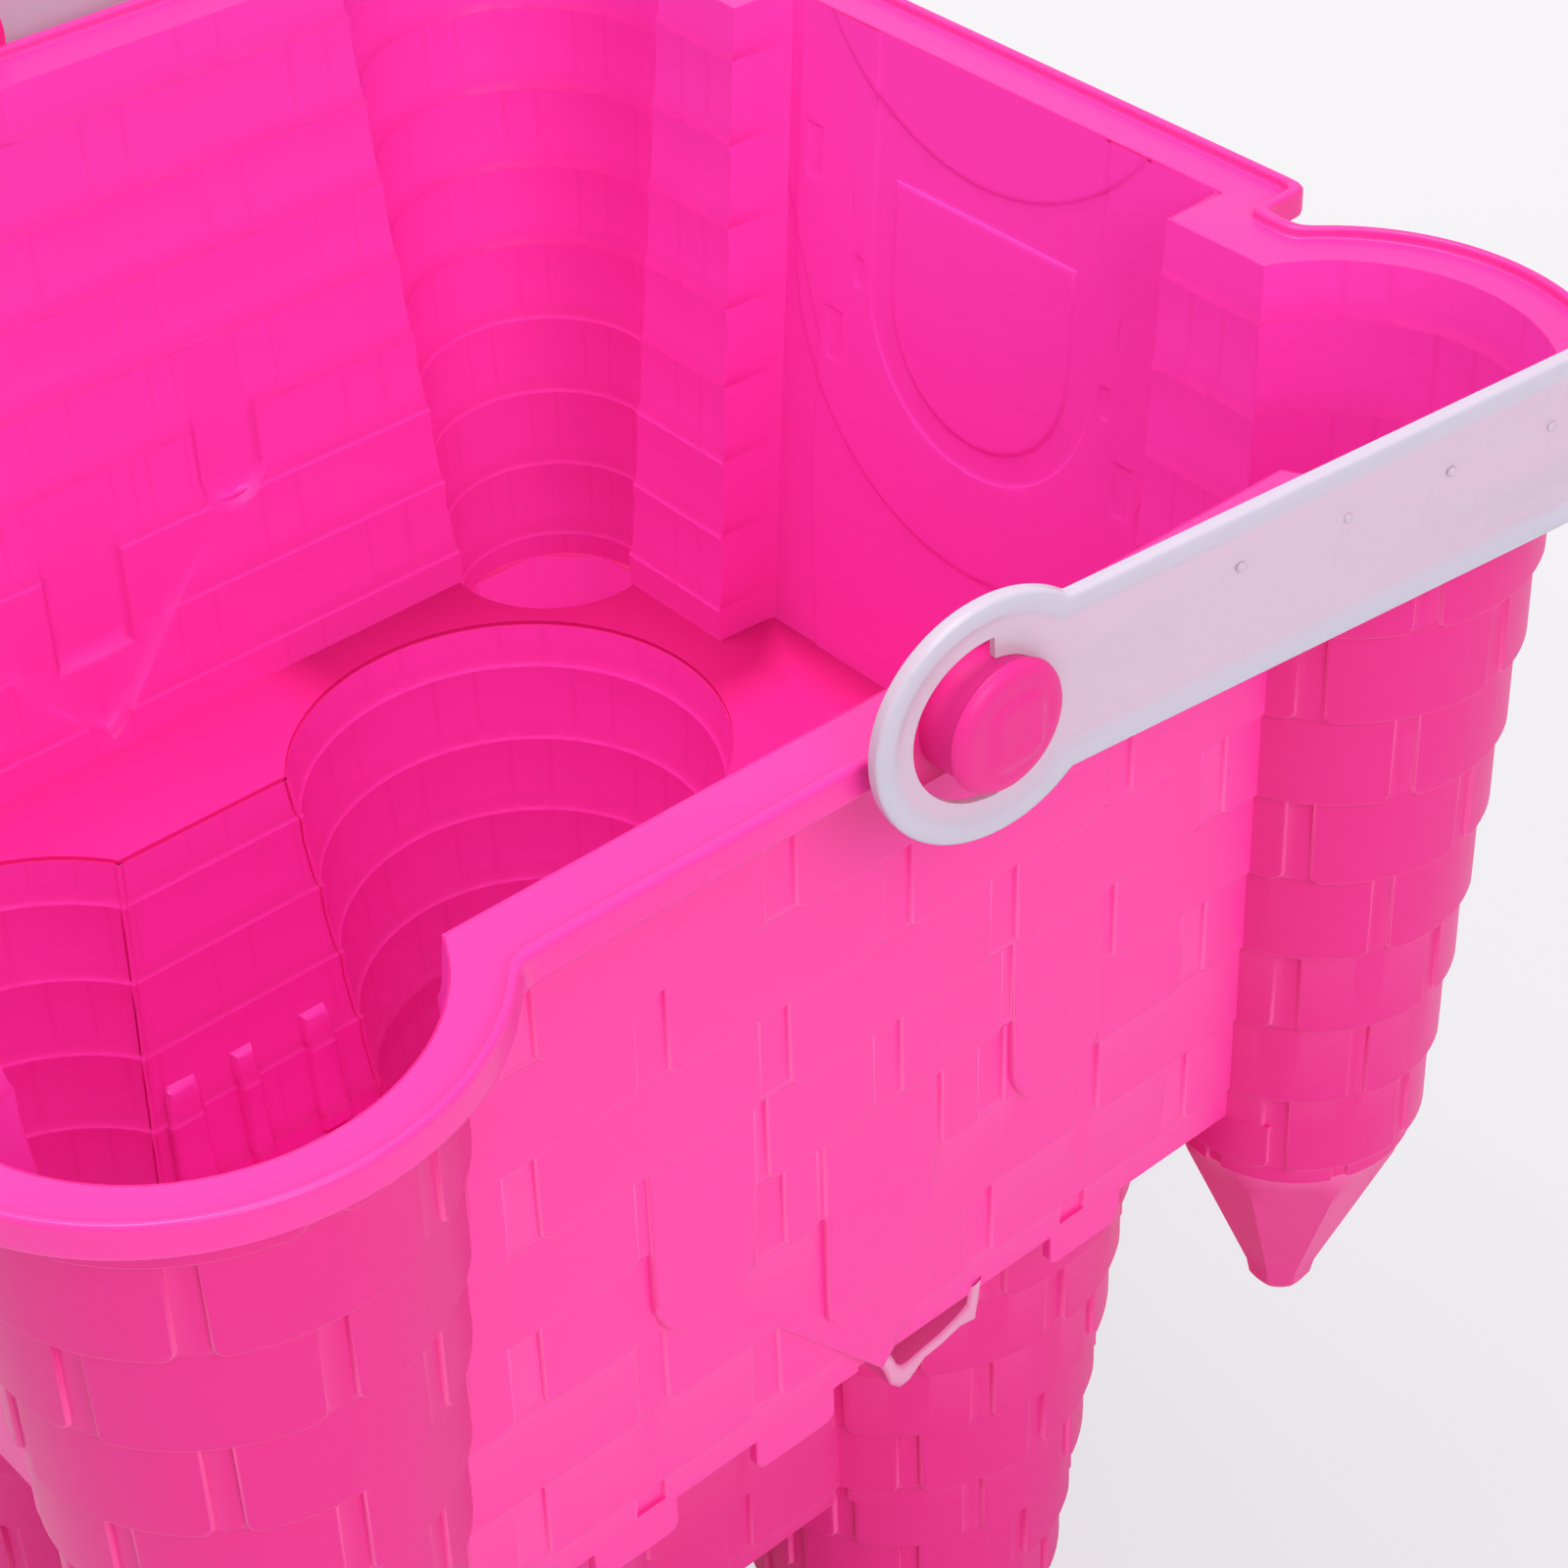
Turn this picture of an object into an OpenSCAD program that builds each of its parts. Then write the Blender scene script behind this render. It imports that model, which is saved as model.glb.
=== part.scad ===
// Castle sand mould, standing mouth up: a square bucket with four corner towers,
// a keep of four more towers below its deck, and a bail handle on two pegs.
// The origin is at the middle of the plan, on the plane of the keep towers' feet.
// Z is up, the front wall faces -Y and the gate wall faces +X.

/* [Bucket] */
// Height from the keep towers' feet to the top of the lip
mould_h = 200; // [175:1:240]
// Half of the width across the walls' outer faces at the mouth
wall_half = 81; // [76:0.5:90]
// Wall thickness of the moulding
wall_t = 1.2; // [1:0.1:2]
// Thickness of the floors and of the ledges between courses
floor_t = 1.2; // [1:0.1:2]
// Depth from the lip's top to the underside of the deck
deck_drop = 94.1; // [90.5:0.1:98]
// Depth from the lip's top to the underside of the keep's own deck
keep_drop = 150; // [146:0.5:156]

/* [Brick courses] */
// Height of one course of bricks
course_h = 11.43; // [10.6:0.01:12]
// Height of the part course under the lip
first_course_h = 9.27; // [7:0.01:11]
// Step inwards from one course to the next, bucket
course_setback = 0.91; // [0.6:0.01:1.1]
// Step inwards from one course to the next, keep walls
keep_wall_step = 1.1; // [0.6:0.05:1.4]
// Step inwards from one course to the next, keep towers
keep_tower_step = 1.4; // [0.8:0.05:1.5]

/* [Corner towers] */
// Distance of each tower's axis from the middle, in X and in Y
tower_at = 71.1; // [66:0.1:76]
// Outer radius of a tower at the mouth
tower_r = 22.97; // [19:0.01:25]
// Depth of the ledge round the spire below the deck's underside
ledge_under_deck = 9.1; // [7:0.1:15]
// Height of a spire below that ledge
spire_h = 31.8; // [20:0.1:45]
// Width of the ledge round the spire's foot
ledge_w = 0.9; // [0.5:0.1:2]
// Radius of the spire's rounded tip
spire_tip_r = 3.2; // [2:0.1:5]

/* [Keep] */
// Half of the width across the keep's flat walls at the deck
keep_half = 53.8; // [50:0.1:58]
// Distance of each keep tower's axis from the middle, in X and in Y
keep_tower_at = 37; // [34:0.5:40]
// Outer radius of a keep tower at the deck
keep_tower_r = 30.3; // [27:0.1:32]

/* [Gate bay] */
// Distance of the gate wall's outer face from the middle, at the mouth
gate_at = 89.9; // [86:0.1:96]
// Half of the gate bay's outer width
gate_half_w = 37.9; // [34:0.1:42]
// Half of the doorway's width
door_half_w = 14.5; // [12:0.5:18]
// Depth from the lip's top to the doorway's lintel
lintel_drop = 20.6; // [18:0.1:24]
// Height of the doorway's straight sides below the lintel
door_side_h = 13.8; // [8:0.1:20]
// Width of the raised band round the doorway
door_band_w = 6.5; // [3:0.1:9]
// How far the door band stands out
relief = 0.9; // [0.5:0.1:1.2]

/* [Windows and merlons] */
// Width of a window
window_w = 14; // [10:0.5:18]
// Distance of a side window from the middle window
window_pitch = 23.6; // [20:0.1:26]
// Depth from the lip's top to the top of a side window
side_window_drop = 43.8; // [40:0.1:48]
// Depth from the lip's top to the top of the middle window
mid_window_drop = 55; // [50:0.1:58]
// Height of a side window, without its arch
window_h = 17.4; // [12:0.1:22]
// Height of the middle window
mid_window_h = 26.5; // [20:0.1:30]
// Width of one merlon under a wall
merlon_w = 10.8; // [7:0.1:14]
// Distance from one merlon to the next
merlon_pitch = 21.4; // [18:0.1:24]
// Height of a merlon
merlon_h = 4.7; // [2:0.1:8]
// Half of the width of the peak under the front wall
peak_half_w = 7; // [4:0.1:9]
// Height of that peak below the deck
peak_h = 12.2; // [6:0.1:16]

/* [Rim] */
// Width of flange and lip outside the inner edge, along the straight walls
flange_w = 8.1; // [6:0.1:10]
// The same round the corner towers
tower_flange_w = 5.8; // [4:0.1:7]
// The same along the gate wall
gate_flange_w = 6.5; // [5:0.1:8]
// Thickness of the flange
flange_t = 1.3; // [1:0.1:2]
// How far the lip stands above the flange
lip_up = 1.2; // [0.6:0.1:2]
// Height of the lip
lip_h = 5; // [4:0.1:8]
// Thickness of the lip
lip_t = 1.5; // [1:0.1:2.5]

/* [Pegs] */
// Height of the pegs' axis above the lip's top
axis_up = 1.3; // [0:0.1:3]
// Radius of the peg's shaft
peg_r = 6.3; // [4.5:0.1:6.8]
// How far the head stands out past the shaft
head_out = 0.4; // [0.2:0.1:0.8]
// Thickness of the head
head_t = 1.7; // [1:0.1:3]
// Thickness of the ear that carries the peg
ear_t = 1.3; // [1:0.1:2]
// Radius of the ear
ear_r = 9; // [7.5:0.1:10]

/* [Handle] */
// Thickness of the handle
handle_t = 1.8; // [1.2:0.1:2]
// Width of the strap where it leaves the eye
strap_w = 19.2; // [14:0.1:22]
// Width of the strap along the grip
grip_w = 21.2; // [14:0.1:24]
// Outer radius of the eye
eye_r = 12.9; // [11.8:0.1:15]
// Radius of the eye's hole on the side away from the strap
slot_r = 8.7; // [7.4:0.1:9.5]
// Running clearance round the peg
peg_clear = 0.08; // [0.02:0.01:0.1]
// Gap between the lip and the eye's outer face, at the peg
eye_stand_off = 4.7; // [4.4:0.1:6]
// Outward splay of each arm, in degrees
splay = 6.6; // [6.5:0.1:9]
// Gap between the gate's lip and the outer face of the grip
grip_gap = 66.8; // [56:0.1:80]
// Radius of the bend between arm and grip
bend_r = 26; // [18:0.5:30]
// How much thicker each face of a bend is than the strap
bend_swell = 0.1; // [0.05:0.05:0.3]
// Upward tilt of the handle at rest, in degrees
rest_tilt = 1.7; // [0:0.1:4]
// Gap between the peg's head and the turned eye
head_clear = 0.15; // [0.1:0.05:0.5]

/* [Hidden] */
$fn = 96;
// How far a cutting shape runs past what it cuts
cut = 1;
// How far two shapes of one solid overlap where they meet
join = 0.4;
// Thickness of the thin slices that a hull is drawn over
slice_t = 0.01;
// Number of courses over which a tower's axis moves in by one setback
drift_courses = 9;
// Where the seam between a tower and its neighbour walls lies, as a share of the tower's lip radius
split_share = 0.22;
// Size of the peak's flat tip, as a share of its foot
tip_share = 0.3;
// Depth of the peak's foot, as a share of its width
foot_share = 0.75;
pink = [1, 0.29, 0.65];
milk = [0.9, 0.86, 0.92, 0.75];

// Drift of a tower's axis towards the middle with each course
axis_drift = course_setback / drift_courses;
// Number of the bucket's last course, which the deck cuts short
last_course = ceil((deck_drop - first_course_h) / course_h);
flange_under = lip_up + flange_t;
ledge_drop = deck_drop + ledge_under_deck;
keep_top = deck_drop - floor_t;
// Height of the keep's part course under the deck
keep_first_h = first_course_h + last_course * course_h - deck_drop;
keep_courses = ceil((mould_h - deck_drop - keep_first_h) / course_h);
split_at = tower_at - tower_r + (tower_r - tower_flange_w) * split_share;
keep_split_at = keep_tower_at - wall_t / 2
    - sqrt(pow(keep_tower_r, 2) - pow(keep_half - keep_tower_at, 2));
corners = [[-1, -1], [1, -1], [-1, 1], [1, 1]];

// Where the eye's and the arm's planes lie
rim_half = wall_half - wall_t + flange_w;
eye_face_y = rim_half + eye_stand_off;
arm_y = eye_face_y - handle_t / 2;
grip_reach = gate_at - wall_t + gate_flange_w + grip_gap;
bend_x = grip_reach - bend_r;
bend_y = arm_y + bend_x * tan(splay) - bend_r / cos(splay);
arm_end_x = bend_x - bend_r * sin(splay);
arm_len = arm_end_x / cos(splay);
head_y = eye_face_y + (peg_r + head_out) * tan(splay) + head_clear;

// Depth of the lower edge of course k, counted from the lip's top
function course_low(k) = first_course_h + k * course_h;
function course_top(k) = k == 0 ? flange_under : course_low(k - 1);
function keep_low(j) = deck_drop + keep_first_h + j * course_h;
function keep_high(j) = j == 0 ? keep_top : keep_low(j - 1);

function half_at(k) = wall_half - k * course_setback;
function tower_r_at(k) = tower_r - k * course_setback;
function tower_at_k(k) = tower_at - k * axis_drift;
function gate_at_k(k) = gate_at - k * course_setback;
function keep_half_at(j) = keep_half - j * keep_wall_step;
function keep_r_at(j) = keep_tower_r - j * keep_tower_step;

// Course of the keep that holds its deck
keep_deck_j = ceil((keep_drop - deck_drop - keep_first_h) / course_h);
deep_r = tower_r_at(last_course);
deep_at = tower_at_k(last_course);

// A flat slab of its children between two depths below the lip's top
module slab(top, low) {
    translate([0, 0, mould_h - low]) linear_extrude(height = low - top) children();
}

module at_corners(at) {
    for (c = corners) translate([c[0] * at, c[1] * at]) children();
}

// The bucket's plan at course k, drawn in by some inset
module bucket_plan(k, inset = 0) {
    square(2 * (half_at(k) - inset), center = true);
    at_corners(tower_at_k(k)) circle(tower_r_at(k) - inset);
    translate([0, inset - gate_half_w]) square([gate_at_k(k) - inset, 2 * (gate_half_w - inset)]);
}

// The keep's plan at course j, drawn in by some inset
module keep_plan(j, inset = 0) {
    square(2 * (keep_half_at(j) - inset), center = true);
    at_corners(keep_tower_at) circle(keep_r_at(j) - inset);
}

module rim_plan(inset = 0) {
    square(2 * (rim_half - inset), center = true);
    at_corners(tower_at) circle(tower_r - wall_t + tower_flange_w - inset);
    side = gate_half_w - wall_t + gate_flange_w - inset;
    translate([0, -side]) square([gate_at - wall_t + gate_flange_w - inset, 2 * side]);
}

// The bucket's stepped shell from the flange down to the deck's underside
module bucket_shell() {
    difference() {
        for (k = [0:last_course]) slab(course_top(k), min(course_low(k), deck_drop)) bucket_plan(k);
        for (k = [0:last_course]) slab(
            k == 0 ? -cut : course_top(k) - floor_t,
            k == last_course ? deck_drop + cut : course_low(k) - floor_t
        ) bucket_plan(k, wall_t);
    }
}

// The keep's stepped shell from the deck's top down to its own deck's underside
module keep_shell() {
    difference() {
        for (j = [0:keep_deck_j]) slab(keep_high(j), min(keep_low(j), keep_drop)) keep_plan(j);
        for (j = [0:keep_deck_j]) slab(
            j == 0 ? keep_top - cut : keep_high(j) - floor_t,
            j == keep_deck_j ? keep_drop + cut : keep_low(j) - floor_t
        ) keep_plan(j, wall_t);
    }
}

// Block that keeps only the stretch of a side between two corner towers, turned to face -Y
module side_block(turn, half_w) {
    rotate([0, 0, turn]) translate([-half_w, -mould_h, 0]) cube([2 * half_w, mould_h, mould_h]);
}

// Block that keeps only one corner
module corner_block(c, from) {
    mirror([c[0] < 0 ? 1 : 0, 0, 0]) mirror([0, c[1] < 0 ? 1 : 0, 0])
        translate([from, from, 0]) cube([mould_h, mould_h, mould_h]);
}

// A merlon hangs from the last course and is as thick as the wall
module merlons() {
    for (i = [-1.5:1:1.5]) translate([i * merlon_pitch - merlon_w / 2, -half_at(last_course), 0])
        slab(deck_drop - join, deck_drop + merlon_h) square([merlon_w, wall_t]);
}

// The outline of a window, with its top at the origin and depth along +Y
module window_shape(arched) {
    if (arched) {
        translate([-window_w / 2, 0]) square([window_w, window_h]);
        translate([0, window_h]) circle(window_w / 2);
    }
    if (!arched) translate([-window_w / 2, 0]) square([window_w, mid_window_h]);
}

// A window is flush with its own course and keeps that level while the courses below step in
module window(i, drop, arched) {
    k = ceil((drop + window_h / 2 - first_course_h) / course_h);
    flush_h = course_low(k) - floor_t / 2 - drop;
    translate([i * window_pitch, -half_at(k), mould_h - drop]) rotate([-90, 0, 0])
        linear_extrude(height = 2 * course_setback + join / 2) intersection() {
            window_shape(arched);
            translate([-window_w / 2, flush_h]) square([window_w, window_w + mid_window_h]);
        }
}

module windows() {
    window(-1, side_window_drop, true);
    window(0, mid_window_drop, false);
    window(1, side_window_drop, true);
}

module plain_wall(turn) {
    color(pink) {
        intersection() {
            bucket_shell();
            side_block(turn, split_at);
        }
        rotate([0, 0, turn]) {
            merlons();
            windows();
        }
    }
}

module front_wall() plain_wall(0);
module back_wall() plain_wall(180);
module left_wall() plain_wall(-90);

// The gate wall is a bay with cheeks, and carries a raised band round its doorway
module gate_wall() {
    arch_drop = lintel_drop + door_side_h;
    k = ceil((lintel_drop + door_side_h - first_course_h) / course_h);
    color(pink) {
        intersection() {
            bucket_shell();
            side_block(90, split_at);
        }
        translate([gate_at_k(k) - wall_t / 2, 0, mould_h - arch_drop]) rotate([0, 90, 0])
            linear_extrude(height = wall_t / 2 + relief) difference() {
                union() {
                    circle(door_half_w + door_band_w);
                    translate([-door_side_h, -door_half_w - door_band_w])
                        square([door_side_h, 2 * (door_half_w + door_band_w)]);
                }
                circle(door_half_w);
                translate([-door_side_h - cut, -door_half_w]) square([door_side_h + cut, 2 * door_half_w]);
            }
    }
}

// A corner tower is open to the bucket above the deck and a full tube below it
module corner_tower(c) {
    color(pink) {
        intersection() {
            bucket_shell();
            corner_block(c, split_at);
        }
        translate([c[0] * deep_at, c[1] * deep_at, 0]) difference() {
            slab(deck_drop, ledge_drop) circle(deep_r);
            slab(deck_drop - cut, ledge_drop - floor_t) circle(deep_r - wall_t);
            slab(deck_drop, ledge_drop + cut) circle(deep_r - ledge_w - wall_t);
        }
    }
}

module tower_front_left() corner_tower(corners[0]);
module tower_front_right() corner_tower(corners[1]);
module tower_back_left() corner_tower(corners[2]);
module tower_back_right() corner_tower(corners[3]);

// An eight-sided hollow cone, point down, with a rounded tip
module spire(c) {
    foot_r = deep_r - ledge_w;
    cone_h = spire_h - spire_tip_r;
    sides = 8;
    turn = 180 / sides;
    color(pink) translate([c[0] * deep_at, c[1] * deep_at, mould_h - ledge_drop]) difference() {
        union() {
            translate([0, 0, -cone_h]) rotate([0, 0, turn])
                cylinder(h = cone_h, r1 = spire_tip_r, r2 = foot_r, $fn = sides);
            translate([0, 0, -cone_h]) sphere(spire_tip_r, $fn = 32);
        }
        translate([0, 0, -cone_h + floor_t]) rotate([0, 0, turn])
            cylinder(h = cone_h, r1 = spire_tip_r - wall_t, r2 = foot_r - wall_t, $fn = sides);
    }
}

module spire_front_left() spire(corners[0]);
module spire_front_right() spire(corners[1]);
module spire_back_left() spire(corners[2]);
module spire_back_right() spire(corners[3]);

module deck() {
    color(pink) slab(keep_top, deck_drop) difference() {
        union() {
            square(2 * (half_at(last_course) - wall_t), center = true);
            translate([0, wall_t - gate_half_w])
                square([gate_at_k(last_course) - wall_t, 2 * (gate_half_w - wall_t)]);
        }
        at_corners(deep_at) circle(deep_r - wall_t);
        keep_plan(0);
    }
}

// The hollow peak that shows under the front wall, behind its right middle merlon
module front_peak() {
    foot = [merlon_pitch / 2, merlon_w / 2 - half_at(last_course) + wall_t];
    color(pink) difference() {
        peak_hull(foot, peak_half_w, deck_drop, peak_h);
        peak_hull(foot, peak_half_w - wall_t, deck_drop - cut, peak_h - floor_t);
    }
}

module peak_hull(foot, half_w, drop, h) {
    foot_d = half_w * foot_share;
    hull() {
        translate([foot[0] - half_w, foot[1] - foot_d, 0])
            slab(drop, drop + slice_t) square([2 * half_w, 2 * foot_d]);
        translate([foot[0] - half_w * tip_share, foot[1] - half_w * tip_share, 0])
            slab(deck_drop + h - slice_t, deck_drop + h) square(2 * half_w * tip_share);
    }
}

// A keep wall lies between two keep towers: its stepped section, drawn along its length
module keep_wall(turn) {
    outside = [for (j = [0:keep_deck_j]) each [
        [-keep_half_at(j), mould_h - keep_high(j)],
        [-keep_half_at(j), mould_h - min(keep_low(j), keep_drop)]
    ]];
    inside = [for (j = [keep_deck_j:-1:0]) each [
        [wall_t - keep_half_at(j), mould_h - (j == keep_deck_j ? keep_drop : keep_low(j) - floor_t)],
        [wall_t - keep_half_at(j), mould_h - (j == 0 ? keep_top : keep_high(j) - floor_t)]
    ]];
    color(pink) rotate([0, 0, turn]) translate([-keep_split_at, 0, 0]) rotate([90, 0, 90])
        linear_extrude(height = 2 * keep_split_at) polygon(concat(outside, inside));
}

module keep_wall_front() keep_wall(0);
module keep_wall_back() keep_wall(180);
module keep_wall_left() keep_wall(-90);
module keep_wall_right() keep_wall(90);

// A keep tower is open to the keep down to its deck, and a closed cup below it
module keep_tower(c) {
    color(pink) {
        intersection() {
            keep_shell();
            corner_block(c, keep_split_at);
        }
        translate([c[0] * keep_tower_at, c[1] * keep_tower_at, 0]) difference() {
            for (j = [keep_deck_j:keep_courses])
                slab(max(keep_drop, keep_high(j)), min(keep_low(j), mould_h)) circle(keep_r_at(j));
            for (j = [keep_deck_j:keep_courses]) slab(
                (j == keep_deck_j ? keep_drop : keep_high(j)) - floor_t,
                min(keep_low(j), mould_h) - floor_t
            ) circle(keep_r_at(j) - wall_t);
        }
    }
}

module keep_tower_front_left() keep_tower(corners[0]);
module keep_tower_front_right() keep_tower(corners[1]);
module keep_tower_back_left() keep_tower(corners[2]);
module keep_tower_back_right() keep_tower(corners[3]);

module keep_deck() {
    color(pink) slab(keep_drop - floor_t, keep_drop) difference() {
        square(2 * (keep_half_at(keep_deck_j) - wall_t), center = true);
        at_corners(keep_tower_at) circle(keep_r_at(keep_deck_j) - wall_t);
    }
}

// The flange lies on the shell's top edge and the lip stands round it
module rim() {
    color(pink) {
        slab(lip_up, flange_under) difference() {
            rim_plan(lip_t / 2);
            bucket_plan(0, wall_t);
        }
        slab(0, lip_h) difference() {
            rim_plan();
            rim_plan(lip_t);
        }
    }
}

// An ear stands on the lip and carries the peg and its head
module peg(turn) {
    color(pink) rotate([0, 0, turn]) translate([0, -rim_half, mould_h + axis_up]) rotate([90, 0, 0]) {
        intersection() {
            cylinder(h = ear_t, r = ear_r);
            translate([-ear_r, -axis_up - lip_h, 0]) cube([2 * ear_r, 2 * ear_r + axis_up + lip_h, ear_t]);
        }
        cylinder(h = head_y - rim_half + head_t / 2, r = peg_r);
        translate([0, 0, head_y - rim_half]) cylinder(h = head_t, r = peg_r + head_out);
    }
}

module front_peg() peg(0);
module back_peg() peg(180);

// One arm: an eye with a keyhole, and a strap that widens towards the bend
module arm_blank() {
    rotate([0, 0, -splay]) translate([0, handle_t / 2, 0]) rotate([90, 0, 0])
        linear_extrude(height = handle_t) {
            circle(eye_r);
            polygon([
                [0, -strap_w / 2], [arm_len + join, -grip_w / 2],
                [arm_len + join, grip_w / 2], [0, strap_w / 2]
            ]);
        }
}

// The hole runs along the peg's axis: a bore beside the strap, and a wider half away from it
module eye_hole() {
    rotate([90, 0, 0]) translate([0, 0, -eye_r]) linear_extrude(height = 2 * eye_r) {
        circle(peg_r + peg_clear);
        intersection() {
            circle(slot_r);
            translate([-slot_r, -slot_r]) square([slot_r, 2 * slot_r]);
        }
    }
}

module arm() {
    difference() {
        translate([0, -arm_y, 0]) arm_blank();
        translate([0, -arm_y, 0]) eye_hole();
    }
    translate([bend_x, -bend_y, 0]) rotate([0, 0, -90 - splay])
        rotate_extrude(angle = 90 + splay)
            translate([bend_r - handle_t / 2 - bend_swell, -grip_w / 2 - bend_swell])
                square([handle_t + 2 * bend_swell, grip_w + 2 * bend_swell]);
}

module handle() {
    color(milk) translate([0, 0, mould_h + axis_up]) rotate([0, -rest_tilt, 0]) {
        arm();
        mirror([0, 1, 0]) arm();
        translate([grip_reach - handle_t / 2, -bend_y - join, -grip_w / 2])
            cube([handle_t, 2 * (bend_y + join), grip_w]);
    }
}

rim();
front_wall();
back_wall();
left_wall();
gate_wall();
tower_front_left();
tower_front_right();
tower_back_left();
tower_back_right();
spire_front_left();
spire_front_right();
spire_back_left();
spire_back_right();
deck();
front_peak();
keep_wall_front();
keep_wall_back();
keep_wall_left();
keep_wall_right();
keep_tower_front_left();
keep_tower_front_right();
keep_tower_back_left();
keep_tower_back_right();
keep_deck();
front_peg();
back_peg();
handle();
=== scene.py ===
# %% [markdown]
# A castle sand mould stands mouth up: a pink injection-moulded bucket with a milky bail handle.
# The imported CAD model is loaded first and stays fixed. Each visible piece is then built over its
# own CAD region in the same millimetres, so nothing has to be fitted afterwards.

import math
import bmesh
import bpy
import numpy as np
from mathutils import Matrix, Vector
from mathutils.geometry import delaunay_2d_cdt


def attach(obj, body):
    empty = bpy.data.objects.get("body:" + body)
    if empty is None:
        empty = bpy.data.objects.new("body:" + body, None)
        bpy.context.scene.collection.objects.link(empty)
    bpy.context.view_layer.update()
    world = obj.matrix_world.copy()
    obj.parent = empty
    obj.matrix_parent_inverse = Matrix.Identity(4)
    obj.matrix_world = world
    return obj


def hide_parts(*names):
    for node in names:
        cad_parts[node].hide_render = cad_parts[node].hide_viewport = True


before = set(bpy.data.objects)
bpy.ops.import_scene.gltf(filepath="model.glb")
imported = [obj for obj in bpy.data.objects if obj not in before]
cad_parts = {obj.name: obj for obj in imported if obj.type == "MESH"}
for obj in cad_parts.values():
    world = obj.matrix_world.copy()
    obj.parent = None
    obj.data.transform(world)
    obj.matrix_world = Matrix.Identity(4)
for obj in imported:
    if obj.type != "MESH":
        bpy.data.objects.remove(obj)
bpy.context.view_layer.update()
scene = bpy.context.scene
MM = 0.001
LIP_Z = 200.0


# %% [markdown]
# The camera comes first, because every later choice is judged through it. It looks down over the
# front wall into the mouth, close enough that the castle runs out of the picture on three sides.

# %% Camera
def new_object(name, data):
    made = bpy.data.objects.new(name, data)
    scene.collection.objects.link(made)
    return made


camera_data = bpy.data.cameras.new("photo_camera")
camera = new_object("photo_camera", camera_data)
scene.camera = camera
camera.location = (-175.39 * MM, -274.20 * MM, 390.54 * MM)
camera.rotation_euler = (math.radians(55.259), 0, math.radians(-43.656))
camera_data.lens = 82.286
camera_data.sensor_width = 36
camera_data.shift_x = -0.125
camera_data.shift_y = -0.125
camera_data.clip_start = 0.01
scene.view_settings.view_transform = "Standard"
print("camera", tuple(round(v, 3) for v in camera.location))

# %% [markdown]
# Node trees are wired by hand in the editor, but a script that spells out every socket gets long.
# Three small helpers start a tree with named sockets, add a node with its links, and set inputs.

# %% Node helpers
FLOAT, COLOUR, VECTOR, FORM = ("NodeSocket" + kind for kind in ("Float", "Color", "Vector", "Geometry"))


def new_tree(kind, name, inputs, *outputs):
    """A node tree with named sockets, what its inputs give, and what its outputs take."""
    tree = bpy.data.node_groups.new(name, kind)
    for label, socket_type, *value in inputs:
        socket = tree.interface.new_socket(label, in_out="INPUT", socket_type=socket_type)
        if value:
            socket.default_value = value[0]
    for label, socket_type in outputs:
        tree.interface.new_socket(label, in_out="OUTPUT", socket_type=socket_type)
    return tree, tree.nodes.new("NodeGroupInput").outputs, tree.nodes.new("NodeGroupOutput").inputs


def dial(node, **values):
    """Sets inputs by name, with _ for a space."""
    for label, value in values.items():
        node.inputs[label.replace("_", " ")].default_value = value


def add(tree, kind, links=(), **settings):
    """A new node. A setting is one of its inputs, or else one of its own properties."""
    node = tree.nodes.new(kind)
    for key, value in settings.items():
        if key.replace("_", " ") in node.inputs:
            dial(node, **{key: value})
        else:
            setattr(node, key, value)
    for socket, source in links:
        tree.links.new(source, node.inputs[socket])
    return node


print("node helpers ready")


# %% [markdown]
# Moulded polypropylene is not a flat colour. It has a faint orange peel and soft cloudy patches where
# the melt cooled unevenly, and its edges carry painted highlights and painted shade. Each effect is one
# node group with named inputs, so that the pink and the milky plastic share it with their own values.

# %% Shader groups
def orange_peel():
    group, given, result = new_tree(
        "ShaderNodeTree", "orange_peel",
        [("Vector", VECTOR), ("Grain Size", FLOAT, 900.0), ("Ripple Size", FLOAT, 120.0),
         ("Ripple Share", FLOAT, 0.6)], ("Height", FLOAT))
    fine, ripple = [add(group, "ShaderNodeTexNoise", [("Vector", given["Vector"]), ("Scale", given[size])],
                        Detail=detail) for size, detail in (("Grain Size", 2.0), ("Ripple Size", 1.0))]
    mixed = add(group, "ShaderNodeMix", [("Factor", given["Ripple Share"]), (2, fine.outputs["Fac"]),
                                         (3, ripple.outputs["Fac"])])
    group.links.new(mixed.outputs[0], result["Height"])
    return group


def cloudy_melt():
    group, given, result = new_tree(
        "ShaderNodeTree", "cloudy_melt",
        [("Vector", VECTOR), ("Colour", COLOUR, (1, 0, 0.4, 1)), ("Cloud Colour", COLOUR, (1, 0.2, 0.5, 1)),
         ("Cloud Size", FLOAT, 14.0), ("Strength", FLOAT, 0.3)], ("Colour", COLOUR), ("Cloud", FLOAT))
    cloud = add(group, "ShaderNodeTexNoise", [("Vector", given["Vector"]), ("Scale", given["Cloud Size"])],
                Detail=3.0)
    spread = add(group, "ShaderNodeMapRange", [("Value", cloud.outputs["Fac"]),
                                               ("To Max", given["Strength"])], From_Min=0.35, From_Max=0.7)
    tint = add(group, "ShaderNodeMix", [("Factor", spread.outputs["Result"]), (6, given["Colour"]),
                                        (7, given["Cloud Colour"])], data_type="RGBA")
    group.links.new(tint.outputs[2], result["Colour"])
    group.links.new(spread.outputs["Result"], result["Cloud"])
    return group


# Mixes a painted colour into the base by a mask: painted highlights on outer edges, painted shade on the
# inner skin and the deck.
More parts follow.
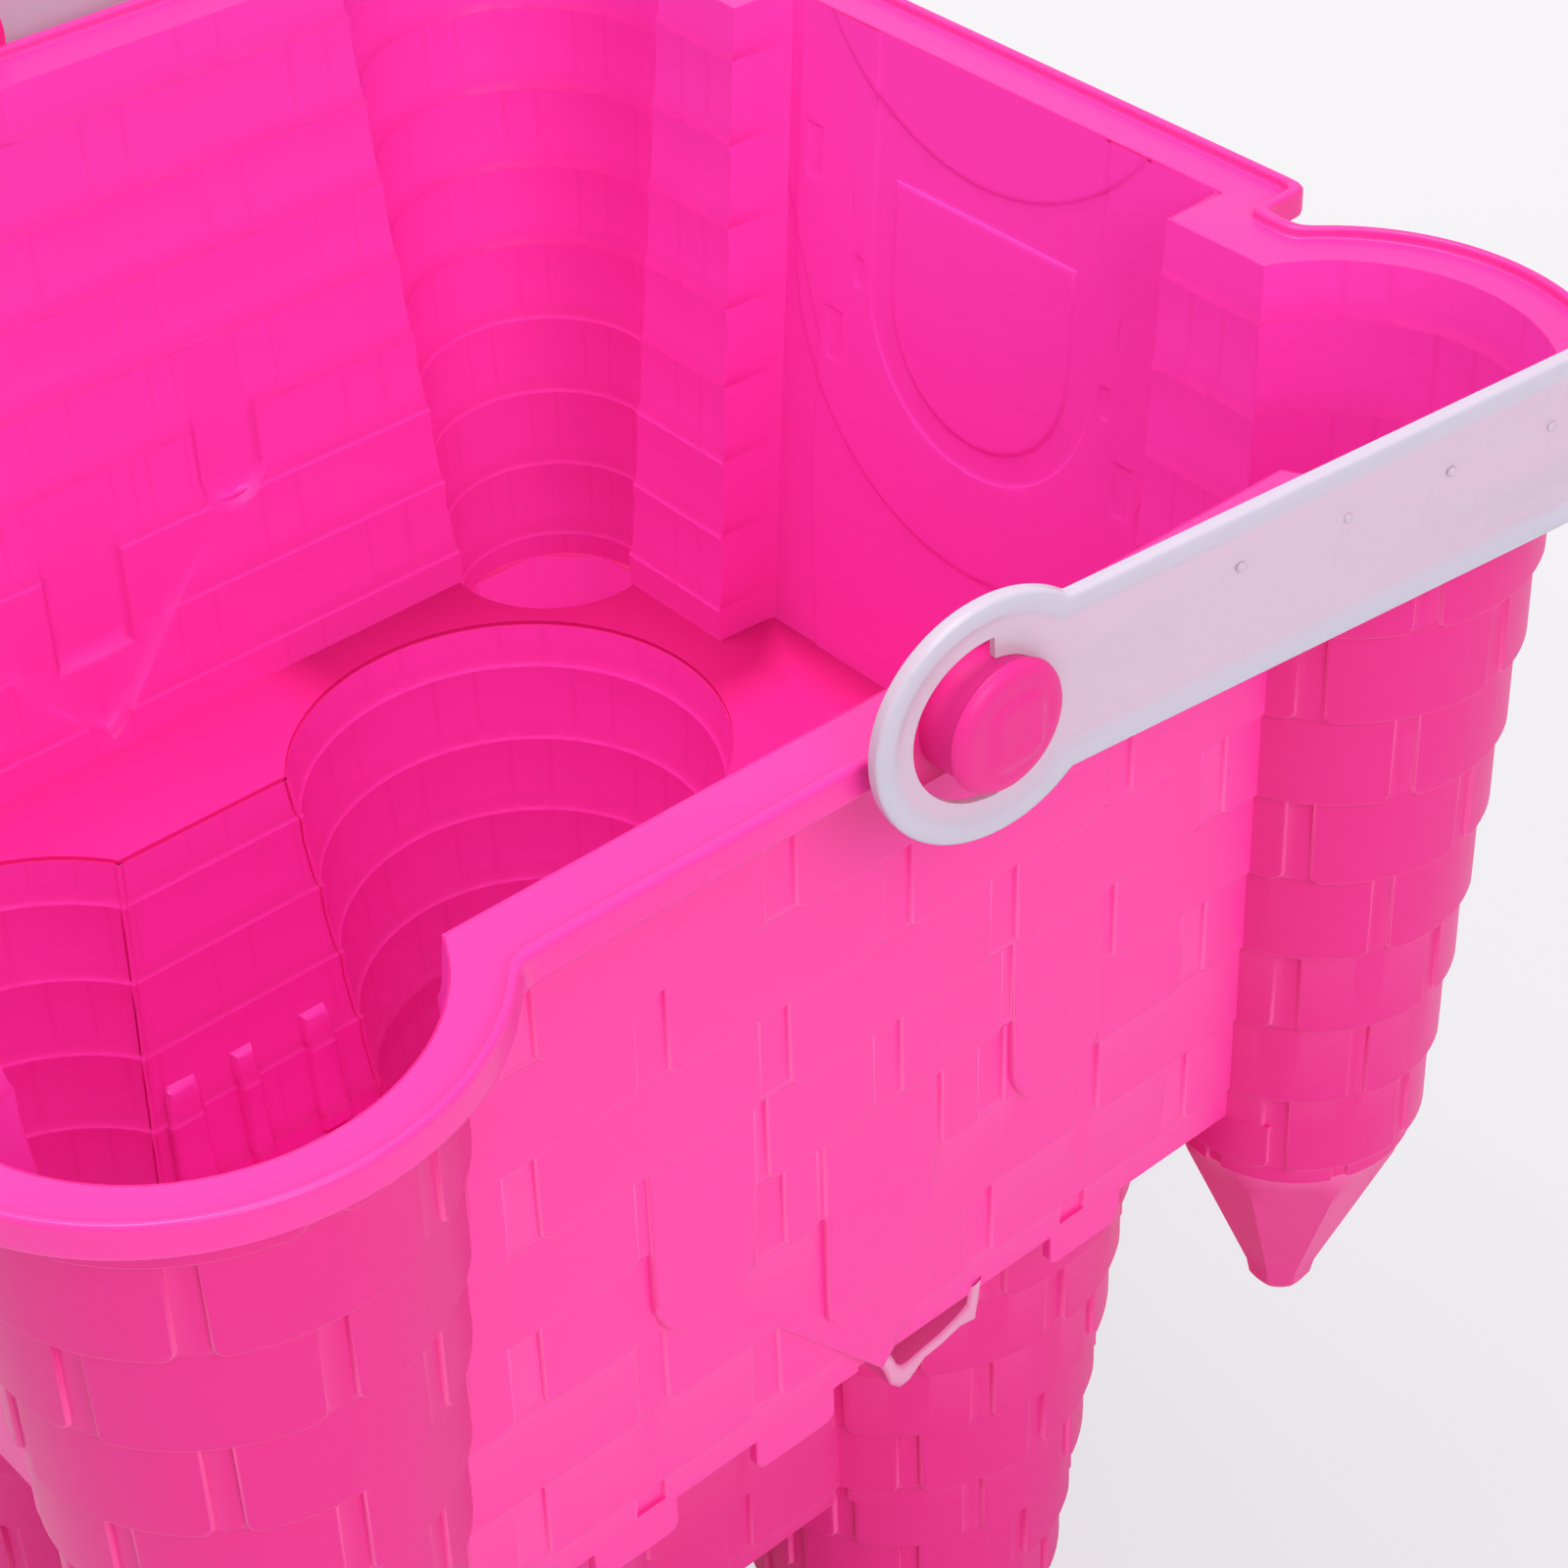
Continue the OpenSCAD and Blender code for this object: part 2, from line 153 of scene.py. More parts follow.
def painted_light_and_shade():
    group, given, result = new_tree(
        "ShaderNodeTree", "painted_light_and_shade",
        [("Colour", COLOUR, (1, 0, 0.4, 1)), ("Edge Colour", COLOUR, (1, 0.2, 0.5, 1)), ("Mask", FLOAT, 0.0),
         ("Strength", FLOAT, 0.5)], ("Colour", COLOUR))
    amount = add(group, "ShaderNodeMath", [(0, given["Mask"]), (1, given["Strength"])], operation="MULTIPLY")
    tint = add(group, "ShaderNodeMix", [("Factor", amount.outputs[0]), (6, given["Colour"]),
                                        (7, given["Edge Colour"])], data_type="RGBA")
    group.links.new(tint.outputs[2], result["Colour"])
    return group


PEEL, MELT, EDGE = orange_peel(), cloudy_melt(), painted_light_and_shade()
print("shader groups", PEEL.name, MELT.name, EDGE.name)


# %% [markdown]
# The bucket is one pink plastic, but light works through it: flat walls look brighter than the
# round towers, the inner skin glows, the deck lies in shade and the front peak is so thin that it
# turns pale. One material would flatten all of that, so that light and shade is painted into the
# colours: one function mixes five pinks and the milk, with painted shade in the darker pinks of the
# towers and the deck, and painted light in the inner skin and the thin peak. The mask where
# highlights and shade are painted along edges comes with each mesh, as an attribute.

# %% Plastics
PEEL_DEEP = 0.0004


def plastic(name, colour, cloud_colour, cloud, edge_colour, edge, rough, bump, **fixed):
    material = bpy.data.materials.new(name)
    material.use_nodes = True
    tree = material.node_tree
    shader = tree.nodes["Principled BSDF"]
    place = tree.nodes.new("ShaderNodeTexCoord").outputs["Object"]
    peel = add(tree, "ShaderNodeGroup", [("Vector", place)], node_tree=PEEL)
    melt = add(tree, "ShaderNodeGroup", [("Vector", place)], node_tree=MELT, Colour=(*colour, 1),
               Cloud_Colour=(*cloud_colour, 1), Strength=cloud)
    # The edge attribute is the mask of painted highlights and painted shade, mixed in below.
    mask = add(tree, "ShaderNodeAttribute", attribute_name="edge")
    edged = add(tree, "ShaderNodeGroup", [("Colour", melt.outputs["Colour"]), ("Mask", mask.outputs["Fac"])],
                node_tree=EDGE, Edge_Colour=(*edge_colour, 1), Strength=edge)
    gloss = add(tree, "ShaderNodeMapRange", [("Value", melt.outputs["Cloud"])],
                To_Min=rough[0], To_Max=rough[1])
    bumped = add(tree, "ShaderNodeBump", [("Height", peel.outputs["Height"])],
                 Strength=bump, Distance=PEEL_DEEP)
    for label, source in (("Base Color", edged.outputs["Colour"]), ("Roughness", gloss.outputs["Result"]),
                          ("Normal", bumped.outputs["Normal"])):
        tree.links.new(source, shader.inputs[label])
    dial(shader, **fixed)
    return material


# The plain pink. Its lighter edge colour paints highlights along brick and plate edges.
pink = plastic("pink_plastic", (0.94, 0.036, 0.350), (0.97, 0.055, 0.400), 0.35, (1.0, 0.16, 0.50), 0.8,
               (0.34, 0.46), 0.10, IOR=1.46, Specular_IOR_Level=0.4)
# A darker copy of the pink for the towers, keep walls, spires and pegs: painted shade. Its lighter edge
# colour paints highlights.
pink_shaded = plastic("pink_plastic_painted_shade", (0.80, 0.022, 0.255), (0.84, 0.034, 0.300), 0.35,
                     (0.95, 0.13, 0.42), 0.8, (0.38, 0.50), 0.10, IOR=1.46, Specular_IOR_Level=0.25)
# The inner skin's pink is painted lighter and more magenta: painted light. Its darker edge colour paints
# shade under the ledges and along the seams.
pink_inside_lit = plastic("pink_plastic_inside_painted_light", (1.0, 0.064, 0.570), (1.0, 0.083, 0.610), 0.3,
                      (0.76, 0.012, 0.24), 0.55, (0.42, 0.54), 0.10, IOR=1.46, Specular_IOR_Level=0.3)
# A darker copy of the pink for the main deck: painted shade. Its dark edge colour paints the shade in the
# pockets.
pink_deck_shaded = plastic("pink_plastic_deck_painted_shade", (0.90, 0.026, 0.310), (0.93, 0.034, 0.345), 0.3,
                    (0.50, 0.006, 0.13), 0.6, (0.46, 0.58), 0.10, IOR=1.46, Specular_IOR_Level=0.2)
# A paler pink for the thin front peak. It lets some light through, and the rest of its paleness, with its
# lighter edge colour, is painted light.
pink_thin_lit = plastic("pink_plastic_thin_painted_light", (0.92, 0.10, 0.40), (0.95, 0.16, 0.46), 0.5, (1.0, 0.45, 0.70), 0.8,
                    (0.30, 0.40), 0.10, IOR=1.46, Transmission_Weight=0.25)
# The milky plastic. Its edge colour paints light along the handle's rounded bead.
milky = plastic("milky_plastic", (0.80, 0.63, 0.77), (0.84, 0.72, 0.82), 0.5, (0.68, 0.72, 0.82), 0.8,
                (0.24, 0.34), 0.12, IOR=1.45, Transmission_Weight=0.3)
print("materials", len(bpy.data.materials))

# %% [markdown]
# The bucket's walls are one thin skin with steps in it: each course of bricks stands a little
# further in than the one above. An array of brick solids would leave gaps and hidden faces. Here a
# flat sheet is cut along every edge of every brick, and each point is pushed in by a rule: a table
# of distances from an edge, the height there in steps, and the mask there, which paints a highlight
# on the outer skin and shade on the inner skin.

# %% Relief rules
COURSE, FIRST_COURSE, WALL_T, BRICK_CORNER = 11.43, 9.27, 1.2, 1.3
# Each rule's third row is its mask: a painted highlight on the outer skin, painted shade on the inner skin.
OUTER_EDGE = (0.0, 0.12, 0.24, 0.45), (-1.0, -0.34, -0.09, 0.0), (0.2, 1.0, 0.75, 0.0)
INNER_EDGE = (0.0, 0.45, 0.9, 1.6), (-1.0, -0.62, -0.28, 0.0), (1.0, 0.95, 0.6, 0.0)
INNER_LEDGE = (0.0, 0.5, 1.5, 3.0, 7.5), (-1.0, -0.72, -0.52, -0.38, 0.0), (1.0, 0.8, 0.3, 0.0, 0.0)
JOINT_DEEP, JOINT_ROOF = 0.5, 0.12
SEAM_HALF, SEAM_SHADE, SEAM_TOP = 0.5, 0.25, 0.25
PAST_EDGE, FAR = 9, 1000.0


def by_rule(rule, distance):
    at, height, mask = rule
    return np.interp(distance, at, height), np.interp(distance, at, mask)


def rounded_inside(dx, dy, radius):
    """How far a point is inside a rounded corner, from how far it is inside either side."""
    corner = (dx < radius) & (dy < radius)
    return np.where(corner, radius - np.hypot(radius - dx, radius - dy), np.minimum(dx, dy))


def brick_line(a, b, top, low, inset, corner):
    """The sides and foot of a brick from a to b, drawn in by an inset."""
    left, right, foot = a + inset, b - inset, low - inset
    radius = max(corner - inset, 0.05)
    if right - left < 2 * radius:
        return [(left, top), (left, foot), (right, foot), (right, top)]
    turns = [i * math.pi / 8 for i in range(5)]
    line = [(left, top)]
    line += [(left + radius - radius * math.cos(t), foot - radius + radius * math.sin(t)) for t in turns]
    line += [(right - radius + radius * math.sin(t), foot - radius + radius * math.cos(t)) for t in turns]
    return line + [(right, top)]


print("courses of", COURSE, "mm in a skin of", WALL_T, "mm")


# %% [markdown]
# A bond is the way bricks are laid: rows whose joints shift from one course to the next. On the
# outer skin each joint is a groove half a step deep. A moulding of even thickness would show the
# same joints as ridges inside, but in the photograph that side shows soft ledges and hardly any
# joint, so the inner skin gets a slow slope under each ledge, and its mask paints shade under each
# ledge and along a faint seam at each joint.

# %% Brick rows
class Bond:
    def __init__(self, lows, joints, step, plates=()):
        self.lows, self.joints, self.step, self.plates = np.array(lows), joints, step, plates

    def height(self, u, v, thick):
        """How far out each point of a skin lies, and its edge mask: painted highlight outside, painted shade
        inside.
        """
        row = np.clip(np.searchsorted(self.lows, v + thick - 1e-6), 0, len(self.lows) - 1)
        across = np.full(u.shape, FAR)
        for k, places in enumerate(self.joints):
            here = row == k
            for centre, half in places:
                across[here] = np.minimum(across[here], np.abs(u[here] - centre) - half)
        if thick:
            # Inside, the mask is painted shade under each ledge and along a faint seam at each joint.
            level, shade = by_rule(INNER_LEDGE, self.lows[row] - (v + thick))
            seam = SEAM_SHADE * np.interp(np.abs(across - thick), (0, SEAM_HALF), (1, 0))
            edge = np.maximum(shade, seam)
        else:
            top = np.where(row > 0, self.lows[row - 1], -FAR)
            inside = rounded_inside(across, self.lows[row] - v, BRICK_CORNER)
            # Outside, the mask is a painted highlight along each brick's edge.
            level, shade = by_rule(OUTER_EDGE, inside)
            joint_floor = -JOINT_DEEP + (1 - JOINT_DEEP) * by_rule(OUTER_EDGE, self.lows[row] - v)[0]
            level = np.maximum(np.maximum(level, joint_floor), -np.clip((v - top) / JOINT_ROOF, 0, 1))
            edge = shade * (inside > 0)
        pushed = self.step * (level - row) - thick
        for plate in self.plates:
            raised, mask = plate.height(u, v, thick, self)
            edge = np.where(raised > pushed, mask, edge)
            pushed = np.maximum(pushed, raised)
        return pushed, edge

    def contours(self, span, depths, thick):
        """The lines that the sheet is cut along. Those of the first course start above the sheet."""
        lines = []
        for k, low in enumerate(self.lows):
            top = (self.lows[k - 1] if k else depths[0] - 5) - thick
            if top <= depths[1]:
                lines.append([(span[0], top), (span[1], top)])
                if thick:
                    lines += self.seams(k, span, top, low - thick, thick)
                else:
                    lines += self.bricks(k, span, top, low)
        for plate in self.plates:
            lines += plate.contours(thick)
        return lines

    def seams(self, k, span, top, foot, thick):
        # Cut lines for the painted shade under each ledge and along each seam.
        levels = [foot - a for a in INNER_LEDGE[0]] + [top + SEAM_TOP]
        lines = [[(span[0], at), (span[1], at)] for at in levels]
        for centre, half in self.joints[k]:
            for side in (-1, 1):
                for off in (-SEAM_HALF, 0, SEAM_HALF):
                    at = centre + (side * (half + thick) + off)
                    lines.append([(at, top + SEAM_TOP), (at, foot)])
        return lines

    def bricks(self, k, span, top, low):
        joints = sorted(self.joints[k])
        starts = [span[0] - PAST_EDGE] + [c + h for c, h in joints]
        ends = [c - h for c, h in joints] + [span[1] + PAST_EDGE]
        lines = [brick_line(a, b, top, low, inset, BRICK_CORNER) for a, b in zip(starts, ends)
                 for inset in OUTER_EDGE[0]]
        for c, h in joints:
            lines.append([(c - h, top + JOINT_ROOF), (c + h, top + JOINT_ROOF)])
            reach = h + BRICK_CORNER
            lines += [[(c - reach, low - inset), (c + reach, low - inset)] for inset in OUTER_EDGE[0]]
        return lines


def in_turn(even, odd, half, scale=1):
    """The joints of ten courses, each joint as its centre and half its width."""
    return [[(c * scale, half) for c in row] for row in [even, odd] * 5]


bucket_lows = [FIRST_COURSE + COURSE * k for k in range(10)]
print("bucket courses", bucket_lows[:8])


# %% [markdown]
# Windows and gables are raised shapes, yet nothing is stuck on. Each is one brick that keeps
# its level while the courses below it step in, so its upper edge is just a course line. A plate is
# therefore only two functions: how far a point is inside it, and its outline drawn in by an inset.

# %% Raised plates
class Plate:
    def __init__(self, course, inside, outline):
        self.course, self.inside, self.outline = course, inside, outline

    def height(self, u, v, thick, bond):
        d = self.inside(u, v) - thick
        # The mask paints a highlight round the plate outside and shade round it inside.
        level, mask = by_rule(INNER_EDGE if thick else OUTER_EDGE, d)
        flat = -bond.step * self.course - thick + 3 * bond.step * level
        active = (d > 0) & (v + thick > bond.lows[self.course - 1] + 1e-6)
        return np.where(active, flat, -FAR), mask

    def contours(self, thick):
        return [self.outline(thick + inset) for inset in (INNER_EDGE if thick else OUTER_EDGE)[0]]


def arched(centre, half, foot, course):
    """Its sides run up past the course line that cuts it off, as all plates' sides do."""
    spring = foot - half
    high = spring - 20

    def inside(u, v):
        return np.where(v < spring, half - np.abs(u - centre), half - np.hypot(u - centre, v - spring))

    def outline(inset):
        r = half - inset
        turns = [i * math.pi / 16 for i in range(17)]
        arc = [(centre - r * math.cos(t), spring + r * math.sin(t)) for t in turns]
        return [(centre - r, high)] + arc + [(centre + r, high)]

    return Plate(course, inside, outline)


def squared(a, b, foot, course, corner=1.5):
    def inside(u, v):
        return rounded_inside(np.minimum(u - a, b - u), foot - v, corner)

    return Plate(course, inside, lambda inset: brick_line(a, b, foot - 25, foot, inset, corner))


def gable(half, top, foot, course):
    slope = math.hypot(half, foot - top)
    run, drop = half / slope, (foot - top) / slope

    def inside(u, v):
        return (foot - v) * run - np.abs(u) * drop

    def outline(inset):
        tip, reach = foot - inset / run, half * 1.1
        return [(-reach, tip - reach * drop / run), (0, tip), (reach, tip - reach * drop / run)]

    return Plate(course, inside, outline)


wall_plates = [arched(-23.85, 6.65, 68.2, 4), arched(23.85, 6.65, 68.2, 4),
               squared(-8, 7.3, 81.5, 5), gable(15.5, 76, 94.2, 6)]
print(len(wall_plates), "plates on a plain wall")


# %% [markdown]
# The sheet is triangulated with every brick edge as a fixed line, which keeps the edges crisp with
# few faces. The outer and the inner face are two such sheets, a wall's thickness apart, joined round
# their borders. A Solidify modifier would be quicker, but it can't give each skin its own relief.

# %% Sheets and shells
def compact(faces, *arrays):
    """Faces and arrays without the points that no face uses."""
    used = sorted({i for f in faces for i in f})
    place = {old: new for new, old in enumerate(used)}
    return [tuple(place[i] for i in f) for f in faces], *(a[used] for a in arrays)


def shifted(faces, by):
    return [tuple(i + by for i in f) for f in faces]


def cut_sheet(span, depths, lines, grid=()):
    """A flat rectangle cut along the lines. Returns its points and triangles."""
    points, edges = [], []
    for line in list(lines) + [[(g, depths[0]), (g, depths[1])] for g in grid]:
        first = len(points)
        points += line
        edges += [(first + i, first + i + 1) for i in range(len(line) - 1)]
    outline = list(range(len(points), len(points) + 4))
    points += [(span[0], depths[0]), (span[1], depths[0]), (span[1], depths[1]), (span[0], depths[1])]
    found = delaunay_2d_cdt([Vector(p) for p in points], edges, [outline], 1, 1e-4, False)
    uv = np.array([tuple(p) for p in found[0]])
    middles = np.array([uv[list(f)].mean(axis=0) for f in found[2]])
    within = (middles > (span[0], depths[0])).all(axis=1) & (middles < (span[1], depths[1])).all(axis=1)
    faces, uv = compact([tuple(f) for f, keep in zip(found[2], within) if keep], uv)
    return uv, faces


def border(sheet, axis, value):
    """The points on one side of a sheet, in order."""
    found = [i for i in range(len(sheet)) if abs(sheet[i, axis] - value) < 1e-4]
    return sorted(found, key=lambda i: sheet[i, 1 - axis])


def close_strip(sheet_a, list_a, sheet_b, list_b, offset, cuts):
    """Faces between two borders that run the same way, split where both have a point at a cut."""
    faces = []
    for a, b in zip(cuts[:-1], cuts[1:]):
        part_a = [i for i in list_a if a - 1e-4 <= sheet_a[i, 0] <= b + 1e-4]
        part_b = [i + offset for i in list_b if a - 1e-4 <= sheet_b[i, 0] <= b + 1e-4]
        if len(part_a) > 1 and len(part_b) > 1:
            faces.append(tuple(part_a + part_b[::-1]))
    return faces


def shell(bond, span, skins, grid, place, cuts, ends=True, capped=False):
    """Outer and inner sheet of one region: points, faces, and each face's skin and point's mask."""
    sheets = []
    for depths, thick in zip(skins, (0.0, WALL_T)):
        uv, faces = cut_sheet(span, depths, bond.contours(span, depths, thick), grid)
        h, edge = bond.height(uv[:, 0], uv[:, 1], thick)
        sheets.append((uv, faces, place(uv[:, 0], uv[:, 1], h, thick), edge))
    (uv_a, faces_a, out, edge_a), (uv_b, faces_b, inn, edge_b) = sheets
    offset = len(out)
    faces = list(faces_a) + shifted([f[::-1] for f in faces_b], offset)
    inner = [False] * len(faces_a) + [True] * len(faces_b)
    for which in (0, 1):
        rim_a = border(uv_a, 1, skins[0][which])
        rim_b = border(uv_b, 1, skins[1][which])
        if which and capped:
            faces += [tuple(rim_a[:-1]), tuple(i + offset for i in rim_b[:-1])]
            inner += [False, True]
        else:
            faces += close_strip(uv_a, rim_a, uv_b, rim_b, offset, cuts)
    for u in span if ends else ():
        side_b = [i + offset for i in border(uv_b, 0, u)]
        faces.append(tuple(border(uv_a, 0, u) + side_b[::-1]))
    marks = inner + [False] * (len(faces) - len(inner)), np.concatenate([edge_a, edge_b])
    return np.vstack([out, inn]), faces, marks


print("sheet tools ready")


# %% [markdown]
# Every piece ends the same way: doubles merged, normals turned outwards, sharp edges marked and
# flat faces kept flat by weighted normals. Then it rides on its body and stands for its CAD nodes.
# One function does this, so that no piece misses a step.

# %% From points to a piece
def finish_mesh(name, form, material, body, *nodes, edge=None, sharp=50, merge=2e-6):
    """A form is points and faces, and marks where it has an inner skin or masks of its own."""
    points, faces, *marks = form
    inner, edge = marks[0] if marks else (None, edge)
    mesh = bpy.data.meshes.new(name)
    mesh.from_pydata([tuple(p) for p in points], [], faces)
    mesh.materials.append(material)
    if inner is not None:
        # Inner faces take the inner pink, which is painted lighter: painted light.
        mesh.materials.append(pink_inside_lit)
        mesh.polygons.foreach_set("material_index", [int(i) for i in inner])
    if edge is not None:
        # The edge mask says where highlights and shade are painted.
        mesh.attributes.new("edge", "FLOAT", "POINT").data.foreach_set("value", np.asarray(edge, float))
    work = bmesh.new()
    work.from_mesh(mesh)
    bmesh.ops.remove_doubles(work, verts=work.verts, dist=merge)
    bmesh.ops.dissolve_degenerate(work, edges=work.edges, dist=merge)
    bmesh.ops.recalc_face_normals(work, faces=work.faces)
    work.to_mesh(mesh)
    work.free()
    mesh.shade_smooth()
    mesh.set_sharp_from_angle(angle=math.radians(sharp))
    piece = new_object(name, mesh)
    weighted = piece.modifiers.new("flat_faces", "WEIGHTED_NORMAL")
    weighted.keep_sharp = True
    weighted.weight = 100
    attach(piece, body)
    if nodes:
        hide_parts(*nodes)
    print(name, len(mesh.polygons), "faces")


def join_parts(parts):
    points, faces, inner, edges, base = [], [], [], [], 0
    for p, f, *marks in parts:
        flags, edge = marks[0] if marks else ([False] * len(f), np.zeros(len(p)))
        points.append(p)
        faces += shifted(f, base)
        inner += list(flags)
        edges.append(edge)
        base += len(p)
    return np.vstack(points), faces, (inner, np.concatenate(edges))


def ring_faces(a, b, count, flip=False):
    """Quads between two closed rings, whose points start at a and at b."""
    quads = [(a + k, a + (k + 1) % count, b + (k + 1) % count, b + k) for k in range(count)]
    return [(p, s, r, q) for p, q, r, s in quads] if flip else quads


print("piece tools ready")

# %% [markdown]
# Two rings of walls and round towers make the castle: the bucket, and below its deck the smaller
# keep. Where a flat wall runs into a round tower moves a little with each course, so both pieces
# work that crossing out from the same numbers and meet in a clean crease. Only the last stretch of
# a sheet is drawn out to the crossing, and the rest keeps its bricks' true lengths.

# %% Rings of walls and towers
STEP, DECK_ROW = 0.91, 8
FLANGE_TOP, SKIN_TOP, DECK_TOP, DECK_LOW, KEEP_FLOOR = 1.26, 2.3, 92.9, 94.1, 150.0
KEEP_TOP, LEDGE = DECK_TOP + 0.6, 103.2
PER_DEGREE = 20 * math.pi / 180
CORNERS = {"front_left": (-1, -1), "front_right": (1, -1), "back_left": (-1, 1), "back_right": (1, 1)}


def turned(points, turn):
    c, s = math.cos(math.radians(turn)), math.sin(math.radians(turn))
    x, y, z = points.T
    return np.stack([x * c - y * s, x * s + y * c, z], axis=1)


def drawn_out(at, free, edge, reach):
    far = free + (np.abs(at) - free) / (edge - free) * (reach - free)
    return np.where(np.abs(at) > free, np.sign(at) * far, at)


def round_grid(degrees):
    return [b * PER_DEGREE for b in range(-degrees, degrees + 1, 5)]


class Ring:
    """Ends give where a sheet's last stretch starts, its edge, and its lap outside and inside."""

    def __init__(self, half, radius, axis, steps, drift, skins, wall_ends, tower_ends, tower_grid):
        self.half, self.radius, self.axis, self.drift = half, radius, axis, drift
        self.wall_step, self.tower_step = steps
        self.skins, self.tower_grid = skins, tower_grid
        self.wall_ends, self.tower_ends = wall_ends, tower_ends

    def at(self, row, thick=0):
        """The walls' distance, the towers' axis and their radius at a course."""
        return (self.half - thick - self.wall_step * row, self.axis - self.drift * row,
                self.radius - thick - self.tower_step * row)

    def crossing(self, row, thick):
        """Where a wall meets a tower, along the wall and as an angle round the tower."""
        half, axis, r = self.at(row, thick)
        a = half - axis
        return axis - np.sqrt(r * r - a * a), np.degrees(np.arccos(a / r))

    def wall_place(self, turn):
        free, edge, *laps = self.wall_ends

        def place(u, v, h, thick):
            reach, _ = self.crossing(-(h + thick) / self.wall_step, thick)
            x = drawn_out(u, free, edge, reach + laps[thick > 0])
            return turned(np.stack([x, -(self.half + h), LIP_Z - v], axis=1) * MM, turn)
        return place

    def tower_place(self, corner, full=False):
        """Angles run from the outward diagonal, so a wall faces 45 degrees off it."""
        free, edge, *laps = self.tower_ends
        diagonal = math.degrees(math.atan2(corner[1], corner[0]))
        side = -corner[0] * corner[1]

        def place(u, v, h, thick):
            row = -(h + thick) / self.tower_step
            beta = u / PER_DEGREE
            if not full:
                _, alpha = self.crossing(row, thick)
                beta = drawn_out(beta, free, edge, 45 + alpha + laps[thick > 0])
            axis, r = self.at(row)[1], self.radius + h
            angle = np.radians(diagonal + side * beta)
            x = corner[0] * axis + r * np.cos(angle)
            y = corner[1] * axis + r * np.sin(angle)
            return np.stack([x, y, LIP_Z - v], axis=1) * MM
        return place

    def wall(self, name, turn, bond, grid, material):
        edge = self.wall_ends[1]
        form = shell(bond, (-edge, edge), self.skins, grid, self.wall_place(turn), [-edge, *grid, edge])
        finish_mesh(name + "_bricks", form, material, "bucket", name)

    def tower(self, name, corner, bond, foot_bond, foot_skins, capped):
        """A part tower between two walls, and a whole one below them."""
        edge, grid = self.tower_ends[1] * PER_DEGREE, round_grid(self.tower_grid)
        upper = shell(bond, (-edge, edge), self.skins, grid, self.tower_place(corner),
                      [-edge, *grid[::2], edge])
        edge, grid = 180 * PER_DEGREE, round_grid(175)
        lower = shell(foot_bond, (-edge, edge), foot_skins, grid, self.tower_place(corner, full=True),
                      [-edge, *grid, edge], ends=False, capped=capped)
        # The towers take the darker pink, which is painted shade; their brick edges carry painted highlights.
        finish_mesh(name + "_bricks", join_parts([upper, lower]), pink_shaded, "bucket", name)


BUCKET = Ring(81, 22.97, 71.1, (STEP, STEP), 0.101, ((SKIN_TOP, DECK_LOW), (FLANGE_TOP, DECK_LOW)),
              (47.0, 52.0, 0.5, 0.02), (100.0, 112.0, 1.2, 0.05), 110)
KEEP = Ring(53.8, 30.3, 37.0, (1.1, 1.4), 0.0, ((KEEP_TOP, KEEP_FLOOR), (KEEP_TOP, KEEP_FLOOR)),
            (9.0, 14.0, 0.5, 0.45), (92.0, 105.0, 1.2, 0.7), 100)
print("bucket", 2 * BUCKET.half, "mm across its walls, keep", 2 * KEEP.half)

# %% [markdown]
# Each plain wall has bricks 30 mm long in running bond, three window shapes and the foot of a
# gable. The three walls are alike, so the same sheet is cut for each and turned to its side.

# %% Plain walls
wall_joints = in_turn((0, -30, 30), (-15, -45, 15, 45), 1.65)
wall_joints[4] += [(-16.4, 0.6), (16.4, 0.6)]
wall_joints[5] += [(-8.3, 0.3), (7.6, 0.3)]
wall_bond = Bond(bucket_lows, wall_joints, STEP, wall_plates)
for name, turn in (("front_wall", 0), ("back_wall", 180), ("left_wall", -90)):
    BUCKET.wall(name, turn, wall_bond, range(-50, 51, 10), pink)

# %% [markdown]
# The towers take the same courses round a curve, with bricks about 60 degrees long. Below the deck
# a tower is a short full tube that ends in the ledge round its spire. A cylinder with a bump map
# would have a smooth outline, and on the real towers the steps show in the outline.

# %% Corner towers
tower_bond = Bond(bucket_lows, in_turn(range(-99, 82, 60), range(-69, 52, 60), 1.15, PER_DEGREE), STEP)
tube_bond = Bond(bucket_lows, in_turn(range(-159, 142, 60), range(-129, 172, 60), 1.15, PER_DEGREE), STEP)
tube_skins = (DECK_LOW, LEDGE), (DECK_LOW, LEDGE)
for name, corner in CORNERS.items():
    BUCKET.tower("tower_" + name, corner, tower_bond, tube_bond, tube_skins, capped=False)


# %% [markdown]
# The keep below the deck is the same kind of ring, with bigger towers and a stronger step. The
# inner skin of its walls also carries a few upright ribs. They are one more rule on top of the
# bricks' rule, which a subclass of the bond adds, and not pieces of their own.

# %% Keep
KEEP_FIRST = 100.71
RIBS = (-9.1, 1.8, 10.6)
RIB_TOP, RIB_FOOT, RIB_HALF, RIB_DEEP = 129.5, 147.0, 0.6, 1.3
SOFT_AT = (0.0, 0.2, 0.5, 0.9)
SOFT_TO = (0.0, 0.55, 0.9, 1.0)


def soft(distance):
    return np.interp(distance, SOFT_AT, SOFT_TO)


